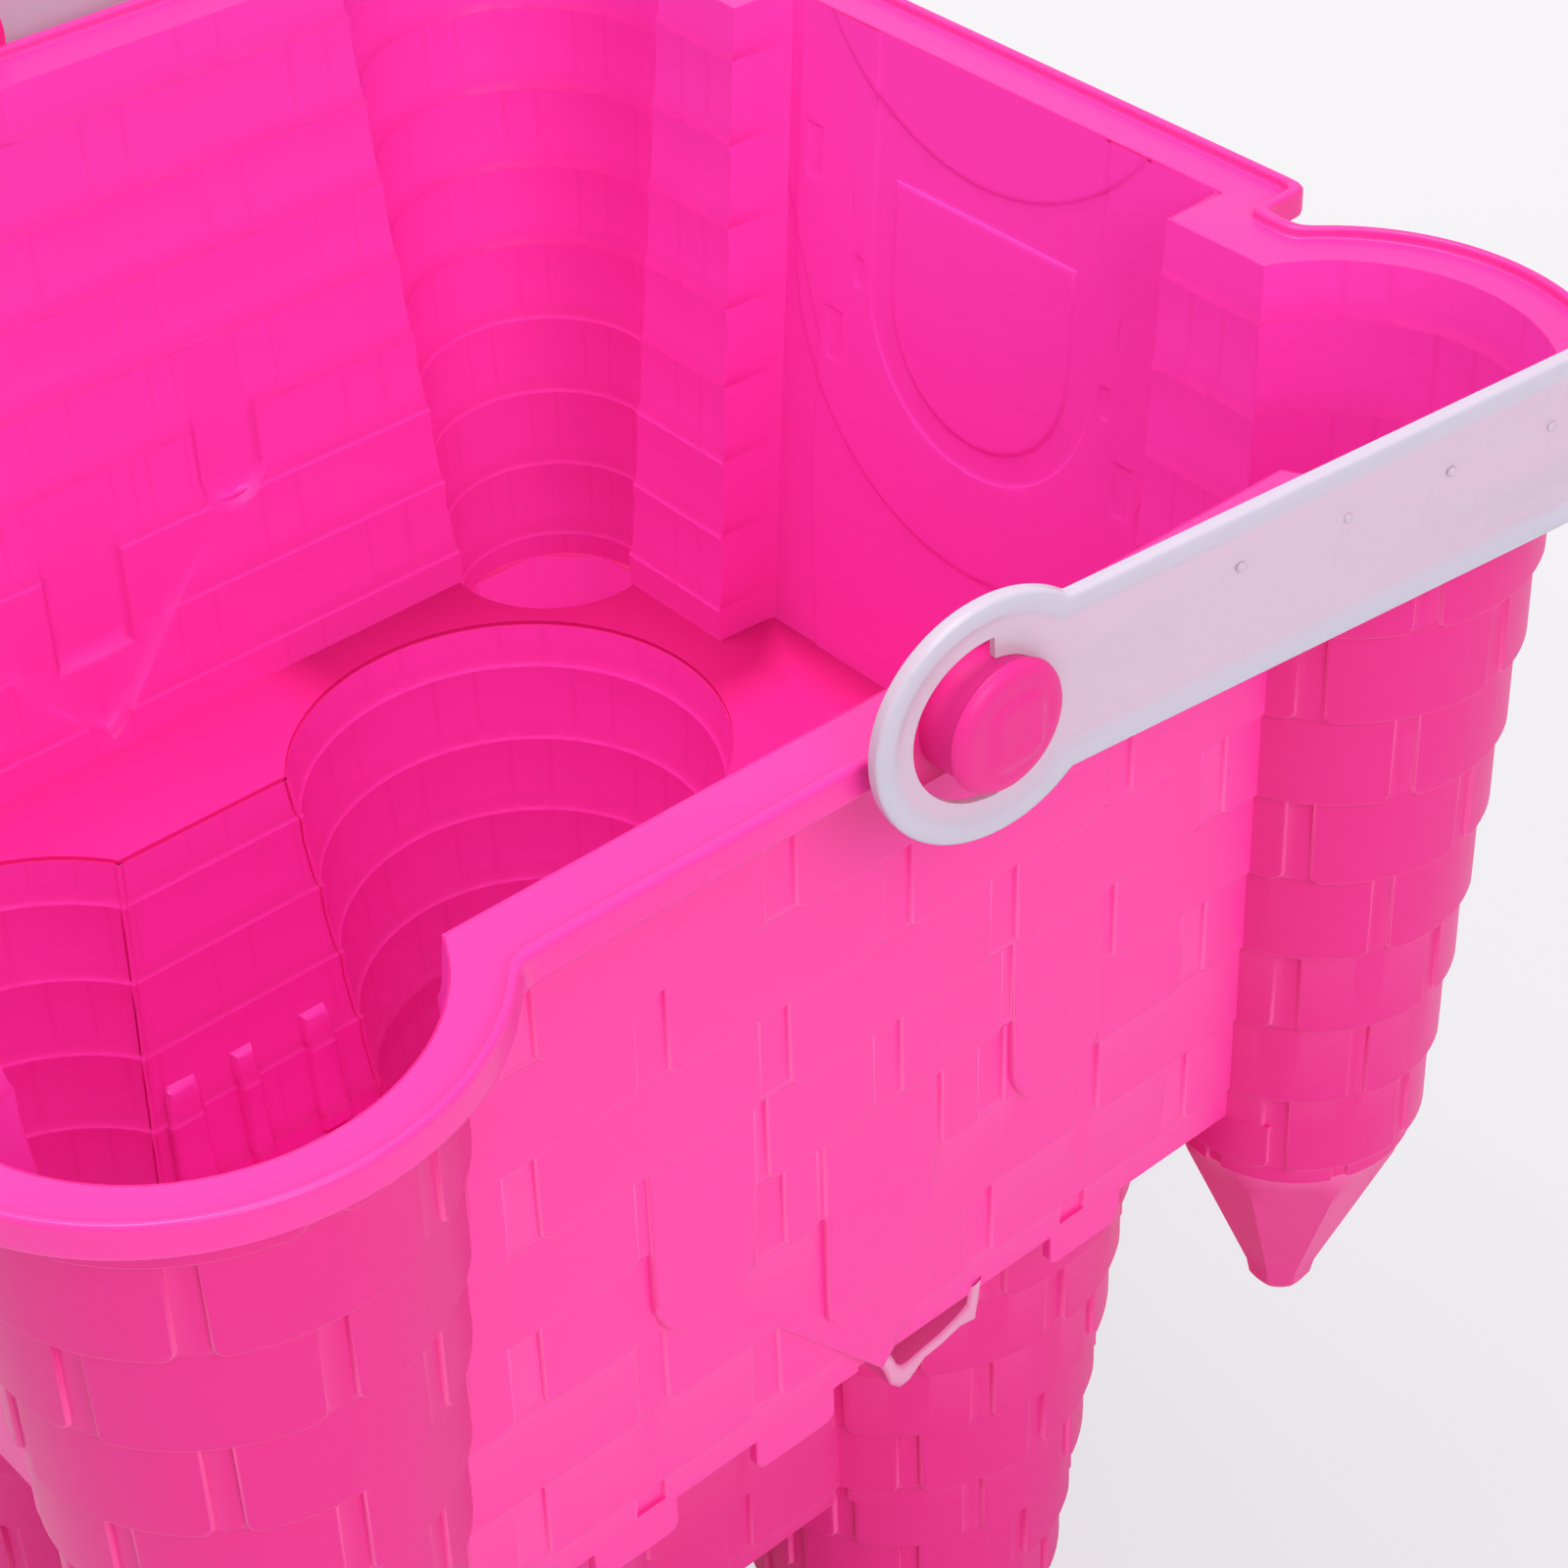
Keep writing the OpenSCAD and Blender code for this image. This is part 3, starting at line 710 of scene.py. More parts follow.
class RibbedBond(Bond):
    def height(self, u, v, thick):
        pushed, edge = super().height(u, v, thick)
        for centre in RIBS if thick else ():
            d = rounded_inside(RIB_HALF + thick - np.abs(u - centre),
                               np.minimum(v - RIB_TOP, RIB_FOOT - v) + thick, 1.0)
            pushed = pushed - RIB_DEEP * soft(d)
        return pushed, edge

    def contours(self, span, depths, thick):
        lines = super().contours(span, depths, thick)
        for centre in RIBS if thick else ():
            for inset in SOFT_AT:
                half = RIB_HALF + thick - inset
                top, foot = RIB_TOP - thick + inset, RIB_FOOT + thick - inset
                a, b = max(centre - half, span[0] - 1), min(centre + half, span[1] + 1)
                lines.append([(a, top), (b, top), (b, foot), (a, foot), (a, top)])
        return lines


keep_lows = [KEEP_FIRST + COURSE * j for j in range(10)]
keep_bond = RibbedBond(keep_lows, in_turn((0,), (-15, 15), 1.65), KEEP.wall_step)
for name, turn in (("front", 0), ("back", 180), ("left", -90), ("right", 90)):
    # The keep walls take the darker pink: painted shade.
    KEEP.wall("keep_wall_" + name, turn, keep_bond, range(-12, 13, 6), pink_shaded)
keep_tower_bond = Bond(keep_lows, in_turn(range(-165, 156, 40), range(-145, 176, 40), 0.9, PER_DEGREE),
                       KEEP.tower_step)
foot_skins = (KEEP_FLOOR, LIP_Z), (KEEP_FLOOR, LIP_Z - WALL_T)
for name, corner in CORNERS.items():
    KEEP.tower("keep_tower_" + name, corner, keep_tower_bond, keep_tower_bond, foot_skins, capped=True)


# %% [markdown]
# The gate wall steps out into a bay between two cheeks. Its panel leans in evenly instead of
# stepping, and carries nested arches, a lintel and corner blocks about 1 mm deep. The same sheet
# rules hold; only the height rule changes, so the bay is one skin with the brick strips beside it.
# Each shape of the panel is a rise, a test for what is inside it, and an outline that can grow.

# %% Gate shapes
BAY_HALF, BAY_OUT, BAY_LEAN = 37.9, 8.9, 0.0796
ARCH_SPRING, LINTEL, INNER_GATE = 34.4, 26.6, 0.3
UPPER_U, UPPER_V, UPPER_R = 1.4, -18, 32
PIER_LINE = ((20.0, 36.5), (26.6, 34.5), (46.4, 27.1), (66.0, 28.0), (97.6, 25.3))
CORNER_BLOCKS = ((22.0, 25.0, 21.0, 28.0), (28.0, 33.5, 16.0, 26.0), (19.5, 24.0, 31.0, 38.0),
                 (23.0, 28.5, 40.0, 50.0))


def arch(half, top):
    def inside(u, v):
        return np.minimum(half - np.hypot(u, np.maximum(v - ARCH_SPRING, 0)), v - top)

    def outline(grow):
        r = half + grow
        turns = [i * math.pi / 32 for i in range(33)]
        arc = [(r * math.cos(t), ARCH_SPRING + r * math.sin(t)) for t in turns]
        return [(r, top - grow)] + arc + [(-r, top - grow), (r, top - grow)]

    return inside, outline


def block(a, b, top, foot):
    def inside(u, v):
        return np.minimum(np.minimum(u - a, b - u), np.minimum(v - top, foot - v))

    def outline(grow):
        left, right, high, low = a - grow, b + grow, top - grow, foot + grow
        return [(left, high), (right, high), (right, low), (left, low), (left, high)]

    return inside, outline


def upper_arc_inside(u, v):
    return UPPER_R - np.hypot(u - UPPER_U, v - UPPER_V)


def upper_arc_line(grow):
    r, turns = UPPER_R + grow, [math.radians(a) for a in range(20, 161, 4)]
    return [(UPPER_U + r * math.cos(t), UPPER_V + r * math.sin(t)) for t in turns]


def outside_piers(u, v):
    return np.minimum(np.abs(u) - np.interp(v, *np.transpose(PIER_LINE)), v - LINTEL)


def pier_line(side):
    """The test holds for both piers, so the second line goes with a rise of nothing."""
    return lambda grow: [(side * (u - grow), v) for v, u in PIER_LINE]


GATE_SHAPES = [(-0.7, *arch(33, -10)), (0.8, *arch(21, -10)), (-0.9, *arch(14.5, 20.6)),
               (-0.7, upper_arc_inside, upper_arc_line), (0.7, outside_piers, pier_line(1)),
               (0.0, outside_piers, pier_line(-1))]
for side in (-1, 1):
    for a, b, top, foot in CORNER_BLOCKS:
        GATE_SHAPES.append((0.6, *block(*sorted((side * a, side * b)), top, foot)))
print(len(GATE_SHAPES), "gate shapes")


# %% [markdown]
# The bay's cheeks are steep, so the share that goes from brick strip to bay rises within 1 mm. On
# the inner skin the shapes keep less than a third of their depth, as they look in the photograph.

# %% Gate wall
class GateBond(Bond):
    def height(self, u, v, thick):
        base, edge = super().height(u, v, thick)
        bay = BAY_OUT - BAY_LEAN * v - thick
        for rise, inside, _ in GATE_SHAPES:
            bay = bay + rise * (INNER_GATE if thick else 1) * soft(inside(u, v) - math.copysign(thick, rise))
        share = soft(BAY_HALF - np.abs(u) - thick)
        return base + (bay - base) * share, edge * (1 - share)

    def contours(self, span, depths, thick):
        lines = super().contours(span, depths, thick)
        for inset in SOFT_AT:
            for side in (-1, 1):
                at = side * (BAY_HALF - thick - inset)
                lines.append([(at, depths[0] - 1), (at, depths[1] + 1)])
            for rise, _, outline in GATE_SHAPES:
                lines.append(outline(-math.copysign(thick, rise) - inset))
        return lines + [[(-34.5, LINTEL), (34.5, LINTEL)]]


BUCKET.wall("gate_wall", 90, GateBond(bucket_lows, in_turn((), (-44.0, 44.0), 1.2), STEP),
            [-45, -33, -22, -11, 0, 11, 22, 33, 45], pink)

# %% [markdown]
# The rim is one section carried round the whole plan: a flat flange with a rounded lip at its
# outer edge. A curve with a bevel profile would pinch at the corners between wall and tower. So
# the inner and the outer line of the plan are drawn with the same number of points, the section is
# set at any share of the way between them, and a little blur rounds the corners as the lip does.

# %% Rim
RIM_SECTION = ((0.0, 1.5, 0.5), (0.02, 1.26, 0.5), (0.77, 1.22, 1.2), (0.80, 1.08, 1.3), (0.812, 0.8, 1.3),
               (0.82, 0.35, 1.3), (0.84, 0.1, 1.3), (0.88, 0.0, 1.3), (0.94, 0.0, 1.3), (0.975, 0.12, 1.3),
               (0.995, 0.4, 1.3), (1.0, 0.8, 1.3), (1.0, 3.1, 1.3), (0.99, 3.45, 1.3), (0.95, 3.6, 1.3),
               (0.86, 3.6, 1.3), (0.83, 3.45, 1.3), (0.82, 3.15, 1.3), (0.82, 2.9, 1.3), (0.80, 2.62, 1.2),
               (0.75, 2.56, 1.0), (0.05, 2.56, 0.5), (0.0, 2.3, 0.5))
RIM_INNER = (79.85, 21.8, 71.1, 88.75, 36.75)
RIM_OUTER = (87.9, 27.57, 71.1, 95.2, 43.8)
ALONG_WALL, ROUND_TOWER, ALONG_GATE = 98, 92, (8, 8, 84, 8, 8)


def plan_line(half, radius, axis, gate, gate_half, blur):
    alpha = math.acos((half - axis) / radius)
    reach = axis - radius * math.sin(alpha)

    def straight(a, b, count):
        return [(a[0] + (b[0] - a[0]) * i / count, a[1] + (b[1] - a[1]) * i / count) for i in range(count)]

    def arc(cx, cy, start):
        turns = [start - alpha + (math.pi / 2 + 2 * alpha) * i / ROUND_TOWER for i in range(ROUND_TOWER)]
        return [(cx + radius * math.cos(t), cy + radius * math.sin(t)) for t in turns]

    gate_side = [(half, -reach), (half, -gate_half), (gate, -gate_half), (gate, gate_half), (half, gate_half),
                 (half, reach)]
    line = straight((-reach, -half), (reach, -half), ALONG_WALL) + arc(axis, -axis, -math.pi / 2)
    for a, b, count in zip(gate_side, gate_side[1:], ALONG_GATE):
        line += straight(a, b, count)
    line += arc(axis, axis, 0) + straight((reach, half), (-reach, half), ALONG_WALL)
    line += arc(-axis, axis, math.pi / 2) + straight((-half, reach), (-half, -reach), ALONG_WALL)
    ring = np.array(line + arc(-axis, -axis, math.pi))
    near = np.arange(-5, 6)
    kernel = np.exp(-0.5 * (near / blur) ** 2)
    kernel /= kernel.sum()
    return sum(weight * np.roll(ring, shift, axis=0) for weight, shift in zip(kernel, near))


def rim():
    rings, faces = [], []
    for share, depth, blur in RIM_SECTION:
        ring = plan_line(*[a + (b - a) * share for a, b in zip(RIM_INNER, RIM_OUTER)], blur)
        rings.append(np.column_stack([ring, np.full(len(ring), LIP_Z - depth)]) * MM)
    around = len(rings[0])
    for i in range(len(rings)):
        faces += ring_faces(i * around, (i + 1) % len(rings) * around, around)
    finish_mesh("rim_lip", (np.vstack(rings), faces), pink, "bucket", "rim", sharp=70)


rim()


# %% [markdown]
# Decks are plates cut to the plan. The outline and its holes are fixed lines in one triangulation,
# and what lies in a hole is dropped, so no boolean is needed.

# %% Plates
def circle_line(cx, cy, r, count=72):
    turns = [2 * math.pi * i / count for i in range(count)]
    return [(cx + r * math.cos(t), cy + r * math.sin(t)) for t in turns]


def four_circles(axis, r):
    return [circle_line(sx * axis, sy * axis, r) for sx, sy in CORNERS.values()]


def square(half):
    return [(-half, -half), (half, -half), (half, half), (-half, half)]


def open_sides(faces):
    """The sides that only one face has."""
    sides = {(a, b) for f in faces for a, b in zip(f, f[1:] + f[:1])}
    return [(a, b) for a, b in sides if (b, a) not in sides]


def plate(outer, keep_point, lines, high, shade=lambda x, y: 0.0):
    """A plate a wall's thickness deep over the part of the outline where keep_point(x, y) holds."""
    points, edges = list(outer), []
    for line in lines:
        first = len(points)
        points += line
        edges += [(first + i, first + (i + 1) % len(line)) for i in range(len(line))]
    found = delaunay_2d_cdt([Vector(p) for p in points], edges, [list(range(len(outer)))], 1, 1e-4, False)
    xy = np.array([tuple(p) for p in found[0]])
    faces = [tuple(f) for f in found[2] if keep_point(*xy[list(f)].mean(axis=0))]
    n = len(xy)
    walls = [(a, b, b + n, a + n) for a, b in open_sides(faces)]
    points = np.vstack([np.column_stack([xy, np.full(n, z)]) for z in (high - WALL_T, high)]) * MM
    inner = [False] * len(faces) + [True] * len(faces) + [False] * len(walls)
    edge = np.concatenate([np.zeros(n), [shade(x, y) for x, y in xy]])
    return points, faces + shifted([f[::-1] for f in faces], n) + walls, (inner, edge)


print("plate tools ready")


# %% [markdown]
# The main deck looks as if it fell away in dark pockets between the corner towers and the keep.
# A dip there caught the light in sharp glints, so the deck is flat, its pink is painted darker as
# shade, and its edge mask paints deeper shade into the pockets. Rings and a grid of extra lines give that
# mask enough points to fade smoothly.

# %% Decks
HALF_T, MASK_PITCH, POCKET_RINGS = WALL_T / 2, 4, (1.2, 2.6, 4.4)
# How strong the painted shade in the pockets is, by distance from a keep tower.
POCKET_FROM, POCKET_AT, POCKET_TO = (22, 30), (0, 6, 14), (1.3, 1.5, 1.65)


def main_deck():
    half, axis, r = BUCKET.at(DECK_ROW, HALF_T)
    bay, bay_half = BAY_OUT - BAY_LEAN * DECK_LOW + BUCKET.half - 0.5, BAY_HALF - HALF_T
    outer = [(-half, -half), (half, -half), (half, -bay_half), (bay, -bay_half),
             (bay, bay_half), (half, bay_half), (half, half), (-half, half)]
    keep_half, keep_axis, keep_r = KEEP.at(0, WALL_T)
    lines = four_circles(axis, r) + four_circles(keep_axis, keep_r) + [square(keep_half)]

    def keep_point(x, y):
        within = max(abs(x), abs(y)) < half or (0 < x < bay and abs(y) < bay_half)
        x, y = abs(x), abs(y)
        in_keep = max(x, y) < keep_half or math.hypot(x - keep_axis, y - keep_axis) < keep_r
        return within and math.hypot(x - axis, y - axis) > r and not in_keep

    # Painted shade in the pockets between the corner towers and the keep.
    def shade(x, y):
        x, y = abs(x), abs(y)
        off_tower = math.hypot(x - keep_axis, y - keep_axis) - keep_r
        pocket = min(np.interp(x, POCKET_FROM, (0, 1)), np.interp(y, POCKET_FROM, (0, 1)))
        return float(pocket * np.interp(off_tower, POCKET_AT, POCKET_TO))

    lines += [circle_line(sx * keep_axis, sy * keep_axis, keep_r + g, 64) for sx, sy in CORNERS.values()
              for g in POCKET_RINGS]
    grid = np.arange(-half + 3, half, MASK_PITCH)
    lines += [[(g, -half), (g, half), (g, -half)] for g in grid]
    lines += [[(-half, g), (half, g), (-half, g)] for g in grid]
    points, faces, (_, edge) = plate(outer, keep_point, lines, LIP_Z - DECK_TOP, shade)
    # The darker deck pink and its mask paint shade over the deck and into its pockets.
    finish_mesh("main_deck", (points, faces), pink_deck_shaded, "bucket", "deck", edge=edge)


def lower_deck():
    half, axis, r = KEEP.at(math.ceil((KEEP_FLOOR - KEEP_FIRST) / COURSE), HALF_T)

    def keep_point(x, y):
        return max(abs(x), abs(y)) < half and math.hypot(abs(x) - axis, abs(y) - axis) > r

    form = plate(square(half), keep_point, four_circles(axis, r), LIP_Z - KEEP_FLOOR + WALL_T)
    finish_mesh("lower_deck", form, pink, "bucket", "keep_deck")


main_deck()
lower_deck()


# %% [markdown]
# Geometry Nodes lay out everything that repeats. One tree puts a given form on a row of points,
# another puts it at the four corners of a square. Each has its sizes as named inputs and ends by
# making the instances real, because the exported file keeps only plain meshes.

# %% Node trees for repeated forms
def layout_tree(name, sizes, lay):
    """A tree that puts its form on the points which lay makes from the sizes."""
    inputs = [("Geometry", FORM), *sizes, ("Material", "NodeSocketMaterial")]
    tree, given, result = new_tree("GeometryNodeTree", name, inputs, ("Geometry", FORM))
    place = add(tree, "GeometryNodeInstanceOnPoints", [("Points", lay(tree, given)),
                                                       ("Instance", given["Geometry"])])
    real = add(tree, "GeometryNodeRealizeInstances", [("Geometry", place.outputs["Instances"])])
    painted = add(tree, "GeometryNodeSetMaterial", [("Geometry", real.outputs["Geometry"]),
                                                    ("Material", given["Material"])])
    tree.links.new(painted.outputs["Geometry"], result["Geometry"])
    return tree


def row_points(tree, given):
    return add(tree, "GeometryNodeMeshLine", [("Count", given["Count"]), ("Start Location", given["Start"]),
                                              ("Offset", given["Pitch"])]).outputs["Mesh"]


def corner_points(tree, given):
    flat = add(tree, "GeometryNodeMeshGrid", [("Size X", given["Spacing"]), ("Size Y", given["Spacing"])],
               Vertices_X=2, Vertices_Y=2)
    up = add(tree, "ShaderNodeCombineXYZ", [("Z", given["Height"])])
    return add(tree, "GeometryNodeSetPosition", [("Geometry", flat.outputs["Mesh"]),
                                                 ("Offset", up.outputs["Vector"])]).outputs["Geometry"]


ROW = layout_tree("row_of_forms", [("Count", "NodeSocketInt"), ("Start", VECTOR), ("Pitch", VECTOR)],
                  row_points)
FOUR = layout_tree("four_corners", [("Spacing", FLOAT), ("Height", FLOAT)], corner_points)


def repeated(name, points, faces, tree, values):
    """Runs a tree on one form and returns the real mesh's points (in metres) and faces."""
    mesh = bpy.data.meshes.new(name + "_form")
    mesh.from_pydata([tuple(p) for p in points], [], faces)
    form = new_object(name + "_form", mesh)
    modifier = form.modifiers.new("layout", "NODES")
    modifier.node_group = tree
    for item in tree.interface.items_tree:
        if item.in_out == "INPUT" and item.name in values:
            modifier[item.identifier] = values[item.name]
    bpy.context.view_layer.update()
    laid = bpy.data.meshes.new_from_object(form.evaluated_get(bpy.context.evaluated_depsgraph_get()))
    form.modifiers.clear()
    bpy.data.objects.remove(form)
    return np.array([v.co[:] for v in laid.vertices]), [tuple(f.vertices) for f in laid.polygons]


print("node trees", ROW.name, FOUR.name)

# %% [markdown]
# Merlons hang under the plain walls: small blocks whose lower corners are rounded, four to a wall.
# The row tree lays one row, and the other walls take turned copies. In the front row one block is
# left out, because the thin front peak hangs in its place.

# %% Merlons
MERLON_W, MERLON_H, MERLON_PITCH, MERLON_CORNER, MERLON_EASE = 10.8, 4.7, 21.4, 1.4, 0.2
MERLON_JOIN, MERLON_OUT, PEAK_AT = 1, 0.03, 2
WALL_FOOT = BUCKET.at(DECK_ROW)[0]


def rounded_block(width, height, depth, corner):
    """Front outline in X and -Z from the top middle, carried back along +Y, with its front edge eased."""
    half, ease = width / 2, MERLON_EASE
    turns = [i * math.pi / 12 for i in range(7)]
    line = [(half, 0)]
    line += [(half - corner + corner * math.cos(t), -height + corner - corner * math.sin(t)) for t in turns]
    line += [(-half + corner - corner * math.sin(t), -height + corner - corner * math.cos(t)) for t in turns]
    line += [(-half, 0)]
    points = []
    for y, inset in ((0.0, ease), (ease * 0.4, ease * 0.35), (ease, 0.0), (depth, 0.0)):
        k = 1 - inset / half
        points += [(x * k, y, z + (inset if z < -height / 2 else 0)) for x, z in line]
    n = len(line)
    faces = [tuple(range(n - 1, -1, -1)), tuple(range(3 * n, 4 * n))]
    for r in range(3):
        faces += ring_faces(r * n, (r + 1) * n, n)
    return np.array(points) * MM, faces


def merlons():
    form = rounded_block(MERLON_W, MERLON_H + MERLON_JOIN, WALL_T, MERLON_CORNER)
    start = -1.5 * MERLON_PITCH * MM, -(WALL_FOOT - MERLON_OUT) * MM, (LIP_Z - DECK_LOW + MERLON_JOIN) * MM
    row = repeated("merlon", *form, ROW, {"Count": 4, "Start": start, "Pitch": (MERLON_PITCH * MM, 0, 0),
                                          "Material": pink})
    n = len(form[0])
    parts = [(row[0][i * n:(i + 1) * n], row[1][:len(form[1])]) for i in range(4) if i != PEAK_AT]
    parts += [(turned(row[0], turn), row[1]) for turn in (180, -90)]
    finish_mesh("merlons", join_parts(parts)[:2], pink, "bucket")


merlons()

# %% [markdown]
# A spire is a hollow eight-sided cone with a rounded tip, and it stands on a narrow round ledge. A
# cone from the menu has eight faces and a point. Here each ring has 48 points, and a share blends
# it from eight-sided to round at the ledge and at the tip. It is drawn once and laid at the four
# corners by the second tree.

# %% Spires
SPIRE_H, SPIRE_TIP, SPIRE_FOOT, SPIRE_LEDGE, SPIRE_SINK = 30.6, 4.4, 14.79, 0.4, 0.2
AROUND, EIGHTH = 48, math.pi / 4


def eight_sided(z, r, round_share):
    ring = []
    for k in range(AROUND):
        angle = 2 * math.pi * k / AROUND + EIGHTH / 2
        local = (angle - EIGHTH / 2) % EIGHTH - EIGHTH / 2
        flat = r * math.cos(EIGHTH / 2) / math.cos(local)
        radius = flat + (r * 0.96 - flat) * round_share
        ring.append((radius * math.cos(angle), radius * math.sin(angle), z))
    return ring


def spire_form():
    cone, n = SPIRE_H - SPIRE_TIP, AROUND
    outer = [(0.0, SPIRE_FOOT, 1.0), (-SPIRE_LEDGE, SPIRE_FOOT, 1.0)]
    for share in [i / 7 for i in range(1, 8)]:
        outer.append((-SPIRE_LEDGE - share * (cone - SPIRE_LEDGE - 0.6),
                      SPIRE_FOOT + (SPIRE_TIP * 1.02 - SPIRE_FOOT) * share, 0.0))
    for i in range(1, 6):
        turn = math.radians(10 + 80 * i / 6)
        outer.append((-cone - SPIRE_TIP * math.sin(turn), SPIRE_TIP * math.cos(turn), min(i / 4, 1.0)))
    inner = [(-cone * i / 6, SPIRE_FOOT - WALL_T + (SPIRE_TIP - SPIRE_FOOT) * i / 6, 0.0) for i in range(7)]
    points = [p for layer in outer + inner for p in eight_sided(*layer)]
    base, end = len(outer) * n, len(points)
    faces = [f for i in range(len(outer) - 1) for f in ring_faces(i * n, (i + 1) * n, n)]
    faces.append(tuple(range(base - n, base)))
    inner_from = len(faces)
    for i in range(len(inner) - 1):
        faces += ring_faces(base + i * n, base + (i + 1) * n, n, flip=True)
    faces.append(tuple(range(end - 1, end - n - 1, -1)))
    skin = [False] * inner_from + [True] * (len(faces) - inner_from) + [False] * n
    faces += ring_faces(0, base, n, flip=True)
    # Painted light: the ledge is painted lighter, the outer cone a little, the inner skin not at all.
    pale = [1.0] * 2 * n + [0.25] * (base - 2 * n) + [0.0] * (end - base)
    return np.array(points) * MM, faces, (skin, pale)


def spires():
    points, faces, (skin, pale) = spire_form()
    laid = repeated("spire", points, faces, FOUR, {"Spacing": 2 * BUCKET.at(DECK_ROW)[1] * MM,
                                                   "Height": (LIP_Z - LEDGE + SPIRE_SINK) * MM,
                                                   "Material": pink_shaded})
    # The darker pink is painted shade; the pale mask paints light on the ledge and cone.
    finish_mesh("spire_cones", (*laid, (skin * 4, pale * 4)), pink_shaded, "bucket",
                *["spire_" + name for name in CORNERS], sharp=28)


spires()

# %% [markdown]
# Under the front wall, in the place of one merlon, hangs one thin hollow peak. It is so thin that
# it lets some light through, and the rest of its paleness is painted light, paler still on its front
# face. Its front face is a frame round a slanting window, so it is drawn as a band between two
# outlines, carried back to a closed skin behind.

# %% Front peak
PEAK_OUT = [(-0.6, 107.4), (1.7, 103.2), (2.6, 100.4), (4.0, 99.0), (5.4, 99.1), (7.4, 100.9), (10.1, 101.2),
            (12.9, 101.9), (15.2, 101.4), (16.2, 107.4)]
PEAK_IN = [(1.5, 106.8), (2.9, 104.6), (3.6, 102.9), (4.3, 102.2), (5.2, 102.2), (7.3, 102.6), (9.9, 103.0),
           (12.4, 103.8), (13.9, 104.6), (14.4, 106.8)]
PEAK_PROUD, PEAK_DEEP, PEAK_EASE = 0.25, 5.0, 0.3


def front_peak():
    front, back = -(WALL_FOOT + PEAK_PROUD), -(WALL_FOOT - PEAK_DEEP)
    n = len(PEAK_OUT)

    def band(share, y):
        pairs = zip(PEAK_OUT, PEAK_IN)
        return [(x + (ix - x) * share, y, z + (iz - z) * share) for (x, z), (ix, iz) in pairs]

    eased, points = front + PEAK_EASE, []
    for share, y in ((0, eased), (0, back), (1, back + 0.1), (1, eased), (0.75, front), (0.25, front)):
        points += band(share, y)
    faces = []
    for a, b in ((0, 1), (2, 3), (3, 4), (4, 5), (5, 0)):
        faces += [(a * n + k, b * n + k, b * n + k + 1, a * n + k + 1) for k in range(n - 1)]
    faces += [tuple(range(n, 2 * n)), tuple(range(3 * n - 1, 2 * n - 1, -1))]
    # The paler pink and its front-face mask are painted light.
    finish_mesh("front_peak_thin", (np.array(points) * MM, faces), pink_thin_lit, "bucket", "front_peak",
                sharp=30, edge=[0.0] * (4 * n) + [1.0] * (2 * n))


front_peak()

# %% [markdown]
# The handle is one flat strap bent into a U, with its two arms splayed a little. A curve object
# could follow the U, but it can't cut the eyes. So the strap is drawn flat, length by width, and a
# function says where each length lies along the U and which way is outward there.

# %% Handle's path
REACH, BEND_R, SPLAY = 162.0, 26.0, math.radians(6.6)
ARM_Y, HINGE_Z, TILT = 91.7, LIP_Z + 1.3, math.radians(1.7)
BEND_X = REACH - BEND_R
ARM = (BEND_X - BEND_R * math.sin(SPLAY)) / math.cos(SPLAY)
BEND_Y = ARM_Y + ARM * math.sin(SPLAY) - BEND_R * math.cos(SPLAY)
BEND = BEND_R * (math.pi / 2 + SPLAY)
STRAP = 2 * (ARM + BEND + BEND_Y)


def along(u):
    """Where the strap's middle line runs, and which way is outward."""
    mirror = u > STRAP / 2
    near = np.where(mirror, STRAP - u, u)
    on_arm, on_bend = near <= ARM, near <= ARM + BEND
    turn = np.clip((near - ARM) / BEND_R, 0, BEND / BEND_R) - math.pi / 2 - SPLAY
    nx, ny = np.cos(turn), np.sin(turn)
    x = np.where(on_arm, near * math.cos(SPLAY), np.where(on_bend, BEND_X + BEND_R * nx, REACH))
    y = np.where(on_arm, -ARM_Y - near * math.sin(SPLAY),
                 np.where(on_bend, BEND_R * ny - BEND_Y, near - ARM - BEND - BEND_Y))
    side = np.where(mirror, -1, 1)
    return x, y * side, nx, ny * side


def tilted(points):
    """Turns points about the hinge by the handle's resting tilt, and gives them in metres."""
    x, y, z = np.array(points, float).T
    return np.stack([x * math.cos(TILT) - z * math.sin(TILT), y,
                     x * math.sin(TILT) + z * math.cos(TILT) + HINGE_Z], axis=1) * MM


print("strap", round(STRAP), "mm long")

# %% [markdown]
# The strap widens a little towards the grip, ends in a round eye at each arm, and each eye has a
# keyhole: a wide circle to snap over the peg's head, and a narrow one that turns on its shaft. The
# thickness comes from the distance to the nearest edge, which gives the round bead along the edges.

# %% Handle's outline
EYE_R, EYE_STEP, EYE_WIDE, EYE_NARROW = 12.9, 0.4, 8.7, 6.38
HALF_WIDE, WIDENS = 9.6, 1
BEAD_AT = (0.0, 0.12, 0.35, 0.9, 1.7, 2.1, 2.6, 3.1)
BEAD_TO = (0.45, 0.66, 0.80, 0.90, 0.84, 0.70, 0.48, 0.38)
HOLE_AT = (0.0, 0.15, 0.4)
HOLE_TO = (0.50, 0.70, 0.90)
MARKS = [(29.0, -0.4, 4.7), (42.4, -0.3, 2.6), (56.2, -1.2, 5.2), (69.8, 0.0, 2.6)]
MARK_AT, MARK_TO, MARK_DEEP = (0, 0.35, 0.7), (0, 0.7, 1), 0.14


def from_edge(u, w):
    near = np.minimum(u, STRAP - u)
    strap = np.where(near > 0, HALF_WIDE + WIDENS * np.clip(near / ARM, 0, 1) - np.abs(w), -FAR)
    return np.maximum(strap, EYE_R - np.hypot(near, w))


